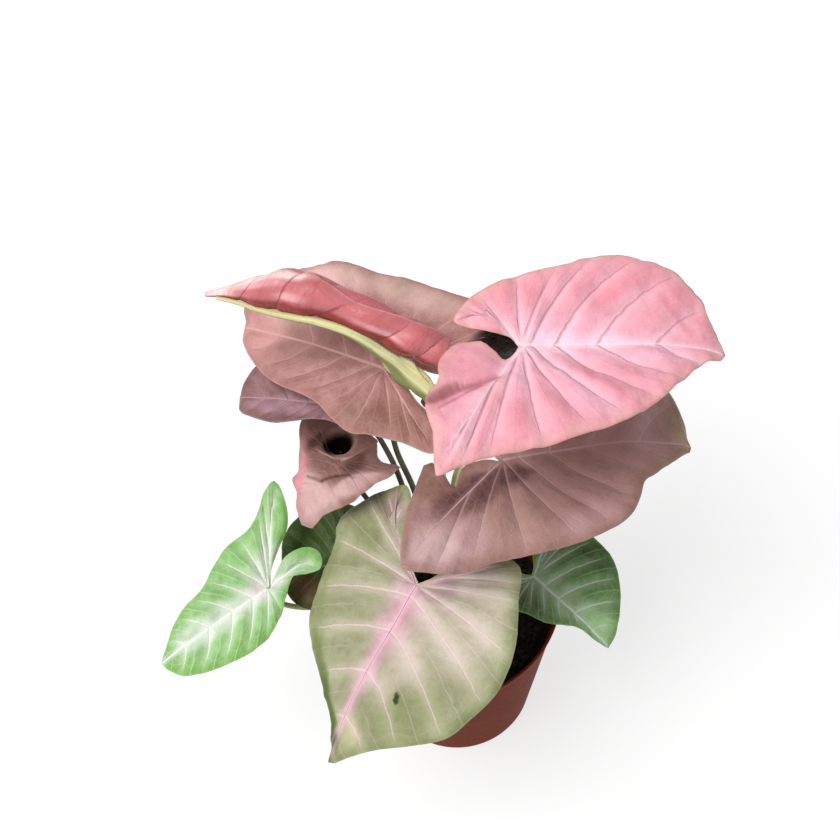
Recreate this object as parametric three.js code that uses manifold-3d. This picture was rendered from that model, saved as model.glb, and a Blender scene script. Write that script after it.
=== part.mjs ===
// Potted pink arrowhead vine, a young syngonium with pink, mauve and green leaves in a nursery pot.
//
// Millimetres, +Z up, the origin at the middle of the pot's flat base. The pot holds a plug of
// potting soil. Ten petioles stand in plain holes in the soil, and each carries one blade: nine
// open arrow-shaped leaves, and the newest leaf, which is still rolled up.
//
// An open blade is drawn flat first. Its x runs along the midrib, from the junction with the
// petiole (0) to the tip, and its y across, positive on the left of a walker who goes to the tip.
// The flat blade is then bent like a sheet along straight lines, and carried to its place.

import * as THREE from 'three';
import { mergeVertices } from 'three/addons/utils/BufferGeometryUtils.js';
import Module from 'manifold-3d';

const wasm = await Module();
wasm.setup();

// Pot: thin, moulded and tapered, with a short upright lip and a ring of drain holes
const POT = {
  height: 92,
  rimRadius: 60,
  baseRadius: 40,
  wall: 1.4,
  floor: 1.8,
  lipHeight: 6,
  lipStep: 0.8,
  heel: 2.5,
  drainRadius: 3.5,
  drainCircle: 28,
  drainHoles: 6,
  sides: 40,
};

// Soil: fills the pot to a little below the rim, mounded round the plant, with a crumbly top
const SOIL = { top: 77, mound: 3, crumb: 0.8, rings: 5, sides: 36, clearance: 0.3 };

// Petioles: tapering stalks whose feet stand in holes in the soil, each ending under its blade
const PETIOLE = {
  sides: 8,
  step: 9,
  foot: 68,
  straightTo: 81,
  collar: 85,
  holeGap: 0.5,
  seatGap: 0.3,
  neck: 4,
};

// Blades: thickness, and the facets along the midrib, round the junction, along a lobe and across
const BLADE = { thickness: 0.8, midribFacets: 8, fanFacets: 3, lobeFacets: 6, acrossFacets: 4 };

// How the lateral veins run. A lobe's own vein reaches lobeReach of the way to the lobe's end. The
// foremost vein from the junction meets the margin at sweep of the length. Lateral veins bow by
// bow of their length, and those inside a lobe crowd to its end by the power crowding.
const VEINS = { lobeReach: 0.7, sweep: 0.2, bow: 0.12, crowding: 2.2 };

// The bridge of tissue that closes the sinus behind the junction, and the steps between two points
// of an outline
const SINUS_BRIDGE = 1.5;
const OUTLINE_STEPS = 14;

const COLOUR = {
  brightPink: '#e59aa4',
  coral: '#dc6d74',
  dustyRose: '#bb8a85',
  mauve: '#a47b83',
  roseBrown: '#ad7f7a',
  palePinkGreen: '#b9b494',
  paleGreen: '#93c97c',
  leafGreen: '#5f9a50',
  darkGreen: '#4c6b3a',
  stalkGreen: '#7f8a55',
  stalkPale: '#d8dc9c',
  stalkDark: '#4a4a36',
  soil: '#17130f',
  terracotta: '#7a3a26',
};

// A bend rolls the sheet beyond a straight line through (x, y) that faces the heading toward, in
// degrees. radius is the roll's, and angle how far it turns, up where positive.
const bend = (x, y, toward, radius, angle) => ({ x, y, toward, radius, angle });

// A dent sinks one half of the sheet round a point, by depth there and less with distance
const dent = (x, y, radius, depth, half) => ({ x, y, radius, depth, half });

// Both halves rise from the midrib
const fold = (angle) => [bend(0, 0, 90, 8, angle), bend(0, 0, -90, 8, angle)];

// Both halves hang again towards their margins, from the distance out
const arch = (out, radius, angle) => [
  bend(0, out, 90, radius, -angle),
  bend(0, -out, -90, radius, -angle),
];

// Open leaves. heading is the compass of the tip (0 is +X, 90 is +Y), pitch lifts the tip, roll
// lifts the left half, and length is junction to tip. The outline of a half runs from beside the
// tip round to the end of its lobe (outer), and on along the lobe's inner edge to the sinus
// (inner); vein, where given, is the end of the lobe's own vein. Bends apply in order. ruffle is
// the height of the margin's waves, and waves their number in a half. hollow is a dent, made before
// the bends. stalk gives the petiole's foot in the soil, its way up, its radius at the foot and the
// top, and its colour.
const LEAVES = [
  {
    name: 'top_right', colour: COLOUR.brightPink,
    junction: [52, 18, 238], heading: -3, pitch: -10, roll: 8, length: 92,
    left: {
      outer: [[90, 7], [83, 25], [73, 39], [59, 45], [41, 47], [21, 40], [3, 35], [-9, 31],
        [-20, 24], [-28, 12]],
      inner: [[-21, 9], [-13, 7], [-5, 5]],
    },
    right: {
      outer: [[77, -9], [64, -22], [50, -35], [33, -46], [16, -52], [-1, -57], [-16, -59],
        [-32, -64], [-42, -68]],
      inner: [[-42, -58], [-42, -48], [-44, -40], [-43, -30], [-37, -21], [-37, -14], [-34, -4],
        [-27, 2], [-18, 3], [-12, -1], [-8, -7], [-4, -4]],
    },
    bends: [bend(50, 0, 0, 110, -16), ...arch(24, 80, 20), ...fold(14)],
    ruffle: 0.8, waves: 3,
    stalk: {
      foot: [8, 3], way: [[10, 4, 130], [15, 7, 170], [19, 9, 181], [33, 13, 216]],
      radii: [2.2, 1.5], colour: COLOUR.stalkPale,
    },
  },
  {
    name: 'top_left', colour: COLOUR.dustyRose,
    junction: [-8, 45, 214], heading: 141.5, pitch: 0, roll: -26, length: 93,
    left: {
      outer: [[89, 5], [70, 17], [49, 24], [24, 26], [14, 30], [1, 34], [-9, 32], [-27, 30],
        [-42, 29]],
      inner: [[-40, 20], [-34, 15], [-29, 12], [-24, 10], [-18, 6.5], [-11, 2], [-5, 0.5]],
    },
    right: {
      outer: [[99, -8], [86, -28], [63, -38], [44, -43], [23, -43], [1, -44], [-20, -43],
        [-40, -42], [-54, -39], [-63, -33]],
      inner: [[-61, -25], [-52, -15], [-38, -9], [-25, -5], [-13, -5], [-5, -3]],
    },
    bends: [bend(30, 0, 0, 90, -16), ...arch(22, 80, 20), ...fold(8)],
    ruffle: 0.8, waves: 4,
    stalk: {
      foot: [-3, 13], way: [[-3, 17, 112], [-4.5, 27, 145], [-9.5, 34.5, 171], [-9, 42, 200]],
      radii: [1.7, 1.2], colour: COLOUR.stalkDark,
    },
  },
  {
    name: 'mid_right', colour: COLOUR.roseBrown,
    junction: [38, 6, 182], heading: 5, pitch: -8, roll: 5, length: 97,
    left: {
      outer: [[97, 5], [98, 24], [92, 37], [80, 47], [60, 52], [35, 50], [10, 47], [-10, 45],
        [-24, 43], [-30, 38]],
      inner: [[-26, 30], [-15, 20], [-6, 8]],
    },
    right: {
      outer: [[90, -4], [70, -18], [59, -25], [54, -33], [45, -43], [28, -50], [8, -53],
        [-19, -54], [-32, -56], [-45, -54], [-57, -49]],
      inner: [[-55, -40], [-50, -24], [-43, -10], [-38, 0], [-35, 4], [-31, 4], [-28, -2],
        [-26.5, -11], [-25, -12], [-23, -7], [-19, -0.5], [-13, 1.5], [-6, 1.5]],
    },
    bends: [bend(45, 0, 0, 90, -20), ...arch(22, 80, 20), ...fold(10)],
    ruffle: 0.9, waves: 3,
    stalk: {
      foot: [14, -3], way: [[16, 1, 130], [22, 6, 165], [29, 9, 175]],
      radii: [2.0, 1.4], colour: COLOUR.stalkGreen,
    },
  },
  {
    name: 'front', colour: COLOUR.palePinkGreen,
    junction: [-11, -23, 138], heading: -137, pitch: -28, roll: 5, length: 93,
    left: {
      outer: [[85, 8], [75, 19], [59, 41], [47, 54], [35, 59], [20, 63], [5, 62], [-6, 59],
        [-20, 51], [-32, 44]],
      inner: [[-30, 30], [-17, 13], [-6, 4]],
    },
    right: {
      outer: [[84, -1], [73, -7], [58, -22], [46, -35], [39, -40], [21, -47], [6, -50],
        [-8, -55], [-21, -48], [-33, -37], [-38, -30]],
      inner: [[-33, -24], [-17, -15], [-5, -5]],
    },
    bends: [bend(45, 0, 0, 90, -16), ...arch(22, 80, 20), ...fold(12)],
    ruffle: 0.8, waves: 4,
    stalk: {
      foot: [1, -8], way: [[-3, -13, 105], [-8, -20, 126]],
      radii: [2.0, 1.4], colour: COLOUR.stalkGreen,
    },
  },
  {
    name: 'mid_left', colour: COLOUR.mauve,
    junction: [-36, 50, 192], heading: 158, pitch: 0, roll: -22, length: 50,
    left: {
      outer: [[48, 6], [42, 9], [27, 12], [14, 10], [2, 8], [-9, 9]],
      inner: [[-10, 6], [-6, 3], [-3, 1]],
    },
    right: {
      outer: [[49, -8], [44, -16], [34, -25], [22, -30], [6, -30], [-8, -22]],
      inner: [[-9, -13], [-7, -7], [-3, -3]],
    },
    bends: [bend(22, 0, 0, 50, -10), ...arch(14, 60, 10), ...fold(8)],
    ruffle: 0.6, waves: 3,
    stalk: {
      foot: [-8, 19], way: [[-8, 26, 120], [-13, 38, 160], [-22, 47, 180]],
      radii: [1.7, 1.2], colour: COLOUR.stalkDark,
    },
  },
  {
    name: 'curled', colour: COLOUR.roseBrown,
    junction: [-39, 42, 160], heading: -145, pitch: 0, roll: 0, length: 40,
    left: {
      outer: [[34, 6], [27, 11], [19, 22], [12, 30], [6, 31], [0, 30], [-4, 31], [-15, 32]],
      inner: [[-13, 22], [-14, 15], [-18, 9], [-21, 4.5], [-14, 3], [-6, 2]],
      vein: [-9, 18],
    },
    right: {
      outer: [[33, -3], [28, -6], [25, -12], [20, -12], [10, -18], [1, -29], [-6, -33],
        [-14, -30]],
      inner: [[-18, -22], [-21, -12], [-22, -3], [-20, 2], [-12, 1.5], [-5, 1]],
      vein: [2, -20],
    },
    hollow: dent(-8, -9.5, 5, 15, 'right'),
    bends: [bend(8, 0, 0, 8, -50), ...fold(15)],
    ruffle: 0.5, waves: 3,
    stalk: {
      foot: [-13, 10], way: [[-18, 18, 115], [-30, 33, 143]],
      radii: [1.7, 1.2], colour: COLOUR.stalkDark,
    },
  },
  {
    name: 'low_left', colour: COLOUR.paleGreen,
    junction: [-85, 5, 118], heading: -157, pitch: -10, roll: -24, length: 65,
    left: {
      outer: [[63, 4], [57, 12], [45, 18], [26, 23], [13, 22], [2, 16], [-7, 8], [-14, 2.5],
        [-20, 5], [-27, 7]],
      inner: [[-31, 0], [-27, -6], [-16, -8], [-6, -3]],
      vein: [-21, -1],
    },
    right: {
      outer: [[61, -2], [50, -10], [40, -15], [27, -18], [15, -25], [5, -29], [-8, -30],
        [-18, -36], [-24, -42], [-32, -44]],
      inner: [[-30, -29], [-24, -19], [-15, -13], [-6, -6]],
    },
    bends: [bend(30, 0, 0, 90, -16), ...arch(18, 60, 15), ...fold(12)],
    ruffle: 0.6, waves: 4,
    stalk: {
      foot: [-12, -4], way: [[-26, -2, 94], [-48, 1, 98], [-72, 3, 99], [-83, 5, 105]],
      radii: [1.6, 1.2], colour: COLOUR.stalkGreen,
    },
  },
  {
    name: 'low_right', colour: COLOUR.leafGreen,
    junction: [46, -12, 112], heading: -48, pitch: -25, roll: 5, length: 50,
    left: {
      outer: [[47, 9], [36, 24], [23, 34], [11, 36], [-2, 34], [-12, 28]],
      inner: [[-13, 18], [-8, 8], [-3, 3]],
    },
    right: {
      outer: [[42, -2], [32, -4], [26, -8], [17, -15], [10, -18], [0, -22], [-12, -20]],
      inner: [[-13, -12], [-9, -6], [-4, -2]],
    },
    bends: [bend(25, 0, 0, 90, -16), ...arch(18, 60, 15), ...fold(12)],
    ruffle: 0.6, waves: 3,
    stalk: {
      foot: [11, -12], way: [[22, -13, 96], [36, -13, 105]],
      radii: [1.6, 1.2], colour: COLOUR.stalkGreen,
    },
  },
  {
    name: 'low_back', colour: COLOUR.darkGreen,
    junction: [-43, 20, 106], heading: 173, pitch: -5, roll: -15, length: 38,
    left: {
      outer: [[36, 9], [32, 17], [26, 22], [15, 26], [3, 25], [-14, 19]],
      inner: [[-14, 12], [-8, 6], [-3, 2]],
    },
    right: {
      outer: [[38, -9], [36, -18], [32, -25], [24, -32], [13, -35], [0, -32], [-12, -22]],
      inner: [[-12, -14], [-8, -7], [-4, -3]],
    },
    bends: [...arch(14, 60, 15), ...fold(12)],
    ruffle: 0.5, waves: 3,
    stalk: {
      foot: [-19, 4], way: [[-25, 10, 92], [-37, 18, 100]],
      radii: [1.5, 1.1], colour: COLOUR.stalkDark,
    },
  },
];

// The rolled leaf: a sheet wound round a bowed axis. A station gives a point of the axis, the
// roll's radius there and the angle of the sheet's free edge, from the tip to the back end. Angles
// go round the axis from straight up towards the front. The sheet winds inwards from its free edge
// by layerStep a turn, and near the tip it is too narrow to close. The petiole runs on under the
// roll as its midrib. A row of its way adds its half width across and its half depth, widest where
// it sheathes the leaf to come.
const ROLLED = {
  name: 'rolled', colour: COLOUR.coral,
  stations: [
    [-80.5, 74.5, 250, 0.9, -60],
    [-71, 70, 252.4, 2.4, -55],
    [-62, 65.7, 253.5, 5.3, -50],
    [-53, 61.4, 254.8, 8.3, -46],
    [-43.8, 57.2, 256.2, 10.5, -42],
    [-35, 53, 256.6, 11, -36],
    [-28, 49.7, 255.8, 10.5, 2],
    [-15, 43.5, 251, 9, 16],
    [-3, 38, 244.8, 8.9, 10],
    [7, 33.2, 239.5, 8.8, -12],
    [13.3, 30.2, 236, 8.2, -20],
    [19.5, 27.3, 232.5, 6.8, -25],
  ],
  tipEnd: 250, innerEnd: 405, closedAt: 0.3, layerStep: 1.6, slimStep: 0.3,
  facetsAlong: 16, facetsRound: 20,
  midrib: { angle: 137, from: 0.65, to: 0.05, points: 7, clear: 0.9, radii: [2.1, 0.8] },
  stalk: {
    foot: [4, 10],
    way: [[6, 13, 130, 2, 2], [11, 18, 175, 2, 2], [14, 21.5, 198, 3, 2],
      [11.8, 23.3, 211, 4.4, 1.7], [7.2, 26.3, 217.7, 5.6, 1.5], [1.5, 29.8, 223.5, 5.4, 1.4],
      [-7, 32.8, 234.5, 3.2, 1.6]],
    radii: [2.3, 2.3], colour: COLOUR.stalkPale,
  },
};

const RADIAN = Math.PI / 180;

// Points of a line with the distance run to each, and the point at a share of the whole way
class Way {
  constructor(points) {
    this.points = points;
    this.run = [0];
    for (let i = 1; i < points.length; i += 1) {
      this.run.push(this.run[i - 1] + points[i].distanceTo(points[i - 1]));
    }
  }

  at(share) {
    const target = share * this.run[this.run.length - 1];
    let i = 1;
    while (i < this.run.length - 1 && this.run[i] < target) i += 1;
    const span = this.run[i] - this.run[i - 1];
    return this.points[i - 1].clone().lerp(this.points[i], (target - this.run[i - 1]) / span);
  }
}

// The margin of one half: a smooth curve through the outline's points, parted at the lobe's end
function marginOf(leaf, half) {
  const knots = [[leaf.length, 0], ...half.outer, ...half.inner, [-SINUS_BRIDGE, 0]];
  const curve = new THREE.CatmullRomCurve3(
    knots.map(([x, y]) => new THREE.Vector3(x, y, 0)), false, 'centripetal');
  const points = curve.getPoints((knots.length - 1) * OUTLINE_STEPS);
  const lobeEnd = half.outer.length * OUTLINE_STEPS;
  return { outer: new Way(points.slice(0, lobeEnd + 1)), inner: new Way(points.slice(lobeEnd)) };
}

// The share of the outer margin at which x first falls to the given value
function shareWhere(way, x, otherwise) {
  for (let share = 0; share <= 1; share += 1 / 400) {
    if (way.at(share).x <= x) return share;
  }
  return otherwise;
}

// Vein paths of one half, from the tip round to the sinus: each has its root on the midrib, at the
// junction or on the lobe's vein, its end on the margin, and its bow
function veinPaths(leaf, side) {
  const half = leaf[side];
  const margin = marginOf(leaf, half);
  const reach = Math.min(shareWhere(margin.outer, VEINS.sweep * leaf.length, 0.8), 0.8);
  const beside = shareWhere(margin.outer, -0.04 * leaf.length, 0.8);
  const fanEnd = 0.5 * (Math.max(Math.min(beside, 0.9), reach + 0.03) + 1);
  const [endX, endY] = half.outer[half.outer.length - 1];
  const lobe = half.vein
    ? new THREE.Vector3(half.vein[0], half.vein[1], 0)
    : new THREE.Vector3(endX, endY, 0).multiplyScalar(VEINS.lobeReach);
  const paths = [];
  const add = (root, end, order) => {
    const bow = VEINS.bow * Math.min(Math.max((9 - order) / 6, 0), 1);
    paths.push({ root, end, order, bow: side === 'left' ? bow : -bow });
  };
  for (let i = 0; i <= BLADE.midribFacets; i += 1) {
    const t = i / BLADE.midribFacets;
    add(new THREE.Vector3(leaf.length * (1 - t), 0, 0), margin.outer.at(t * reach), 6 * t);
  }
  for (let i = 1; i <= BLADE.fanFacets; i += 1) {
    const t = i / BLADE.fanFacets;
    add(new THREE.Vector3(), margin.outer.at(reach + (fanEnd - reach) * t), 6 + 2 * t);
  }
  for (let i = 1; i <= BLADE.lobeFacets; i += 1) {
    const t = i / BLADE.lobeFacets;
    add(lobe.clone().multiplyScalar(t), margin.outer.at(fanEnd + (1 - fanEnd) * t), 8 + 3 * t);
  }
  for (let i = 1; i <= BLADE.lobeFacets; i += 1) {
    const t = i / BLADE.lobeFacets;
    const share = 1 - (1 - t) ** VEINS.crowding;
    add(lobe.clone().multiplyScalar(1 - t), margin.inner.at(share), 11 + 3 * t);
  }
  return paths;
}

// The name of a grid point, so that points shared by neighbours are made once
function pointKey(side, path, across) {
  const { midribFacets, fanFacets, lobeFacets } = BLADE;
  const junction = midribFacets;
  const last = midribFacets + fanFacets + 2 * lobeFacets;
  if (path === 0) return 'tip';
  if (across > 0) return path === last ? `sinus ${across}` : `${side} ${path} ${across}`;
  if (path <= junction) return `midrib ${path}`;
  const lobeEnd = midribFacets + fanFacets + lobeFacets;
  const along = path <= lobeEnd ? path - midribFacets - fanFacets : last - path;
  return along <= 0 ? `midrib ${junction}` : `${side} lobe ${along}`;
}

// One bend of the sheet, as described at bend()
function applyBend(point, { x, y, toward, radius, angle }) {
  const nx = Math.cos(toward * RADIAN);
  const ny = Math.sin(toward * RADIAN);
  const beyond = (point.x - x) * nx + (point.y - y) * ny;
  if (beyond <= 0) return;
  const sign = Math.sign(angle);
  const turn = Math.min(beyond / radius, Math.abs(angle) * RADIAN);
  const rest = beyond - radius * turn;
  const height = point.z * sign;
  const out = (radius - height) * Math.sin(turn) + rest * Math.cos(turn);
  point.x += (out - beyond) * nx;
  point.y += (out - beyond) * ny;
  point.z = sign * (radius - (radius - height) * Math.cos(turn) + rest * Math.sin(turn));
}

// One dent of the sheet, as described at dent()
function applyDent(point, { x, y, radius, depth }) {
  const away = Math.hypot(point.x - x, point.y - y) / radius;
  point.z -= depth * Math.exp(-away * away);
}

// The turn from a leaf's own axes to the plant's: roll, then pitch, then heading
function frameOf(leaf) {
  const frame = new THREE.Matrix4().makeRotationZ(leaf.heading * RADIAN);
  frame.multiply(new THREE.Matrix4().makeRotationY(-leaf.pitch * RADIAN));
  frame.multiply(new THREE.Matrix4().makeRotationX(leaf.roll * RADIAN));
  return frame.setPosition(new THREE.Vector3(...leaf.junction));
}

// A sheet of triangles given a thickness: a copy of it on either side, joined along its edges
function thicken(points, triangles, thickness) {
  const sheet = new THREE.BufferGeometry().setFromPoints(points);
  sheet.setIndex(triangles.flat());
  sheet.computeVertexNormals();
  const normal = new THREE.Vector3();
  const count = points.length;
  const skins = [0.5, -0.5].flatMap((share) => points.map((point, i) => {
    normal.fromBufferAttribute(sheet.attributes.normal, i);
    return point.clone().addScaledVector(normal, share * thickness);
  }));
  const faces = triangles.flatMap(([a, b, c]) => [[a, b, c], [a + count, c + count, b + count]]);
  const edges = new Set(triangles.flatMap(([a, b, c]) => [`${a} ${b}`, `${b} ${c}`, `${c} ${a}`]));
  edges.forEach((edge) => {
    const [from, to] = edge.split(' ').map(Number);
    if (edges.has(`${to} ${from}`)) return;
    faces.push([from, from + count, to + count], [from, to + count, to]);
  });
  const solid = new THREE.BufferGeometry().setFromPoints(skins);
  solid.setIndex(faces.flat());
  return solid;
}

// An open blade: the flat grid of vein paths, ruffled at the margin, bent, placed and thickened
function openBlade(leaf) {
  const index = new Map();
  const points = [];
  const triangles = [];
  const frame = frameOf(leaf);
  ['left', 'right'].forEach((side) => {
    const paths = veinPaths(leaf, side);
    const last = paths[paths.length - 1].order;
    const ids = paths.map(({ root, end, order, bow }, path) => {
      const line = end.clone().sub(root);
      const square = new THREE.Vector3(-line.y, line.x, 0);
      return Array.from({ length: BLADE.acrossFacets + 1 }, (_, across) => {
        const key = pointKey(side, path, across);
        if (index.has(key)) return index.get(key);
        const t = across / BLADE.acrossFacets;
        const point = root.clone().addScaledVector(line, t)
          .addScaledVector(square, bow * t * (1 - t));
        const phase = order / last;
        point.z = leaf.ruffle * t * t * Math.sin(Math.PI * phase)
          * Math.sin(2 * Math.PI * leaf.waves * phase);
        if (leaf.hollow && leaf.hollow.half === side) applyDent(point, leaf.hollow);
        leaf.bends.forEach((line) => applyBend(point, line));
        index.set(key, points.push(point.applyMatrix4(frame)) - 1);
        return index.get(key);
      });
    });
    const face = (a, b, c) => {
      if (a === b || b === c || c === a) return;
      triangles.push(side === 'left' ? [a, b, c] : [a, c, b]);
    };
    for (let i = 0; i + 1 < ids.length; i += 1) {
      for (let j = 0; j < BLADE.acrossFacets; j += 1) {
        face(ids[i][j], ids[i][j + 1], ids[i + 1][j + 1]);
        face(ids[i][j], ids[i + 1][j + 1], ids[i + 1][j]);
      }
    }
  });
  return thicken(points, triangles, BLADE.thickness);
}

// The roll's axis, and its radius and free edge, by the same parameter from tip to back end
const rollAxis = new THREE.CatmullRomCurve3(
  ROLLED.stations.map(([x, y, z]) => new THREE.Vector3(x, y, z)));
const rollShape = new THREE.CatmullRomCurve3(
  ROLLED.stations.map(([, , , radius, edge]) => new THREE.Vector3(radius, edge, 0)));
const rollFront = rollAxis.getPoint(1).sub(rollAxis.getPoint(0)).cross(new THREE.Vector3(0, 0, 1))
  .normalize();

// A point beside the roll's axis. The section stands square to the axis.
function rollPoint(along, degrees, distance) {
  const up = new THREE.Vector3().crossVectors(rollFront, rollAxis.getTangent(along)).normalize();
  return rollAxis.getPoint(along)
    .addScaledVector(up, distance * Math.cos(degrees * RADIAN))
    .addScaledVector(rollFront, distance * Math.sin(degrees * RADIAN));
}

// The rolled blade: a spiral section carried along the axis
function rolledBlade() {
  const { facetsAlong, facetsRound } = ROLLED;
  const points = [];
  const triangles = [];
  const row = facetsRound + 1;
  for (let i = 0; i <= facetsAlong; i += 1) {
    const along = i / facetsAlong;
    const { x: radius, y: edge } = rollShape.getPoint(along);
    const closing = Math.min(along / ROLLED.closedAt, 1);
    const wrap = ROLLED.tipEnd + (ROLLED.innerEnd - ROLLED.tipEnd) * closing - edge;
    const step = Math.min(ROLLED.layerStep, ROLLED.slimStep * radius);
    for (let j = 0; j <= facetsRound; j += 1) {
      const turned = wrap * (j / facetsRound);
      points.push(rollPoint(along, edge + turned, radius - step * turned / 360));
    }
  }
  for (let i = 0; i < facetsAlong; i += 1) {
    for (let j = 0; j < facetsRound; j += 1) {
      const a = i * row + j;
      triangles.push([a, a + 1, a + row + 1], [a, a + row + 1, a + row]);
    }
  }
  return thicken(points, triangles, BLADE.thickness);
}

// A stalk along a smooth way: rings of points square to it, joined, and closed at both ends. Each
// row of the way is a point, the half width across as seen from the front, and the half depth.
function stalkSolid(rows) {
  const curve = new THREE.CatmullRomCurve3(
    rows.map(([x, y, z]) => new THREE.Vector3(x, y, z)), false, 'centripetal');
  const girths = new THREE.CatmullRomCurve3(
    rows.map(([, , , across, deep]) => new THREE.Vector3(across, deep, 0)), false, 'chordal');
  const steps = Math.max(4, Math.round(curve.getLength() / PETIOLE.step));
  const backward = new THREE.Vector3(0, 1, 0);
  const points = [];
  const triangles = [];
  for (let i = 0; i <= steps; i += 1) {
    const at = curve.getUtoTmapping(i / steps);
    const centre = curve.getPoint(at);
    const along = curve.getTangent(at);
    const side = new THREE.Vector3().crossVectors(backward, along).normalize();
    const face = new THREE.Vector3().crossVectors(along, side);
    const { x: across, y: deep } = girths.getPoint(at);
    for (let j = 0; j < PETIOLE.sides; j += 1) {
      const turn = 2 * Math.PI * j / PETIOLE.sides;
      points.push(centre.clone()
        .addScaledVector(side, across * Math.cos(turn))
        .addScaledVector(face, deep * Math.sin(turn)));
    }
  }
  for (let i = 0; i < steps; i += 1) {
    for (let j = 0; j < PETIOLE.sides; j += 1) {
      const a = i * PETIOLE.sides + j;
      const b = i * PETIOLE.sides + (j + 1) % PETIOLE.sides;
      triangles.push([a, b, b + PETIOLE.sides], [a, b + PETIOLE.sides, a + PETIOLE.sides]);
    }
  }
  const top = steps * PETIOLE.sides;
  for (let j = 1; j + 1 < PETIOLE.sides; j += 1) {
    triangles.push([0, j + 1, j], [top, top + j, top + j + 1]);
  }
  const solid = new THREE.BufferGeometry().setFromPoints(points);
  solid.setIndex(triangles.flat());
  return solid;
}

// The way of a petiole starts upright in its hole
function upright({ foot: [x, y], radii: [radius] }) {
  return [PETIOLE.foot, PETIOLE.straightTo, PETIOLE.collar].map((z) => [x, y, z, radius, radius]);
}

// A petiole tapers up to the junction, and comes to it square to the blade
function openPetiole(leaf) {
  const normal = new THREE.Vector3(0, 0, 1).transformDirection(frameOf(leaf));
  const junction = new THREE.Vector3(...leaf.junction);
  const seat = BLADE.thickness / 2 + PETIOLE.seatGap;
  const { way, radii: [foot, top] } = leaf.stalk;
  const free = [
    ...way.map((point) => new THREE.Vector3(...point)),
    junction.clone().addScaledVector(normal, -seat - PETIOLE.neck),
    junction.clone().addScaledVector(normal, -seat),
  ];
  const height = junction.z - PETIOLE.collar;
  return stalkSolid([...upright(leaf.stalk), ...free.map((point) => {
    const radius = foot + (top - foot) * Math.min((point.z - PETIOLE.collar) / height, 1);
    return [...point, radius, radius];
  })]);
}

// The rolled leaf's petiole runs on as the midrib under the roll, to near its tip
function rolledPetiole() {
  const { angle, from, to, points, clear, radii } = ROLLED.midrib;
  const rows = [...upright(ROLLED.stalk), ...ROLLED.stalk.way];
  for (let i = 0; i < points; i += 1) {
    const share = i / (points - 1);
    const along = from + (to - from) * share;
    const radius = radii[0] + (radii[1] - radii[0]) * share;
    const away = rollShape.getPoint(along).x + clear + radius;
    rows.push([...rollPoint(along, angle, away), radius, radius]);
  }
  return stalkSolid(rows);
}

// A closed mesh as a solid for joining and cutting, and back
function toSolid(geometry) {
  const bare = geometry.clone();
  bare.deleteAttribute('normal');
  bare.deleteAttribute('uv');
  const merged = mergeVertices(bare, 1e-4);
  return new wasm.Manifold(new wasm.Mesh({
    numProp: 3,
    vertProperties: Float32Array.from(merged.attributes.position.array),
    triVerts: Uint32Array.from(merged.index.array),
  }));
}

function toGeometry(solid) {
  const mesh = solid.getMesh();
  const geometry = new THREE.BufferGeometry();
  geometry.setAttribute('position', new THREE.BufferAttribute(mesh.vertProperties, 3));
  geometry.setIndex(new THREE.BufferAttribute(mesh.triVerts, 1));
  return geometry;
}

// An upright post, for cutting a round hole
function post(x, y, radius, low, high, sides) {
  const geometry = new THREE.CylinderGeometry(radius, radius, high - low, sides);
  return toSolid(geometry.rotateX(Math.PI / 2).translate(x, y, (low + high) / 2));
}

function lathe(profile, sides) {
  const points = profile.map(([radius, height]) => new THREE.Vector2(radius, height));
  return new THREE.LatheGeometry(points, sides).rotateX(Math.PI / 2);
}

// The outer radius of the pot's tapered wall at a height
const wallRadius = (height) => POT.baseRadius
  + (POT.rimRadius - POT.lipStep - POT.baseRadius) * (height / POT.height);

function potSolid() {
  const { height, rimRadius, baseRadius, wall, floor, lipHeight, lipStep, heel } = POT;
  const lip = height - lipHeight;
  let solid = toSolid(lathe([
    [0, 0],
    [baseRadius - heel, 0],
    [wallRadius(heel), heel],
    [wallRadius(lip), lip],
    [wallRadius(lip) + lipStep, lip + lipStep],
    [rimRadius, height],
    [rimRadius - wall, height],
    [wallRadius(lip) - wall, lip - lipStep],
    [wallRadius(floor) - wall, floor],
    [0, floor],
  ], POT.sides));
  for (let i = 0; i < POT.drainHoles; i += 1) {
    const turn = 2 * Math.PI * i / POT.drainHoles;
    solid = solid.subtract(post(POT.drainCircle * Math.cos(turn), POT.drainCircle * Math.sin(turn),
      POT.drainRadius, -1, floor + 1, 12));
  }
  return solid;
}

// The soil follows the pot's inside, and its top is a mound broken by crumbs
function soilSolid(stalks) {
  const { top, mound, crumb, rings, sides, clearance } = SOIL;
  const inner = (height) => wallRadius(height) - POT.wall - clearance;
  const bottom = POT.floor + clearance;
  const profile = [[0, bottom], [inner(bottom), bottom]];
  for (let i = 0; i <= rings; i += 1) {
    const share = 1 - i / rings;
    profile.push([inner(top) * share, top + mound * (1 - share * share)]);
  }
  const geometry = lathe(profile, sides);
  const position = geometry.attributes.position;
  for (let i = 0; i < position.count; i += 1) {
    const [x, y, z] = [position.getX(i), position.getY(i), position.getZ(i)];
    if (z >= top) {
      const lump = Math.sin(0.31 * x + 1.3) * Math.cos(0.27 * y) + Math.sin(0.19 * (x - y));
      position.setZ(i, z + crumb * lump / 2);
    }
  }
  let solid = toSolid(geometry);
  stalks.forEach(({ foot: [x, y], radii: [radius] }) => {
    const hole = radius + PETIOLE.holeGap;
    solid = solid.subtract(post(x, y, hole, PETIOLE.foot - PETIOLE.seatGap, top + 20, 12));
  });
  return solid;
}

const group = new THREE.Group();

function place(name, geometry, colour, roughness) {
  const material = new THREE.MeshStandardMaterial({ color: colour, roughness, metalness: 0 });
  const mesh = new THREE.Mesh(geometry, material);
  mesh.name = name;
  group.add(mesh);
}

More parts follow.
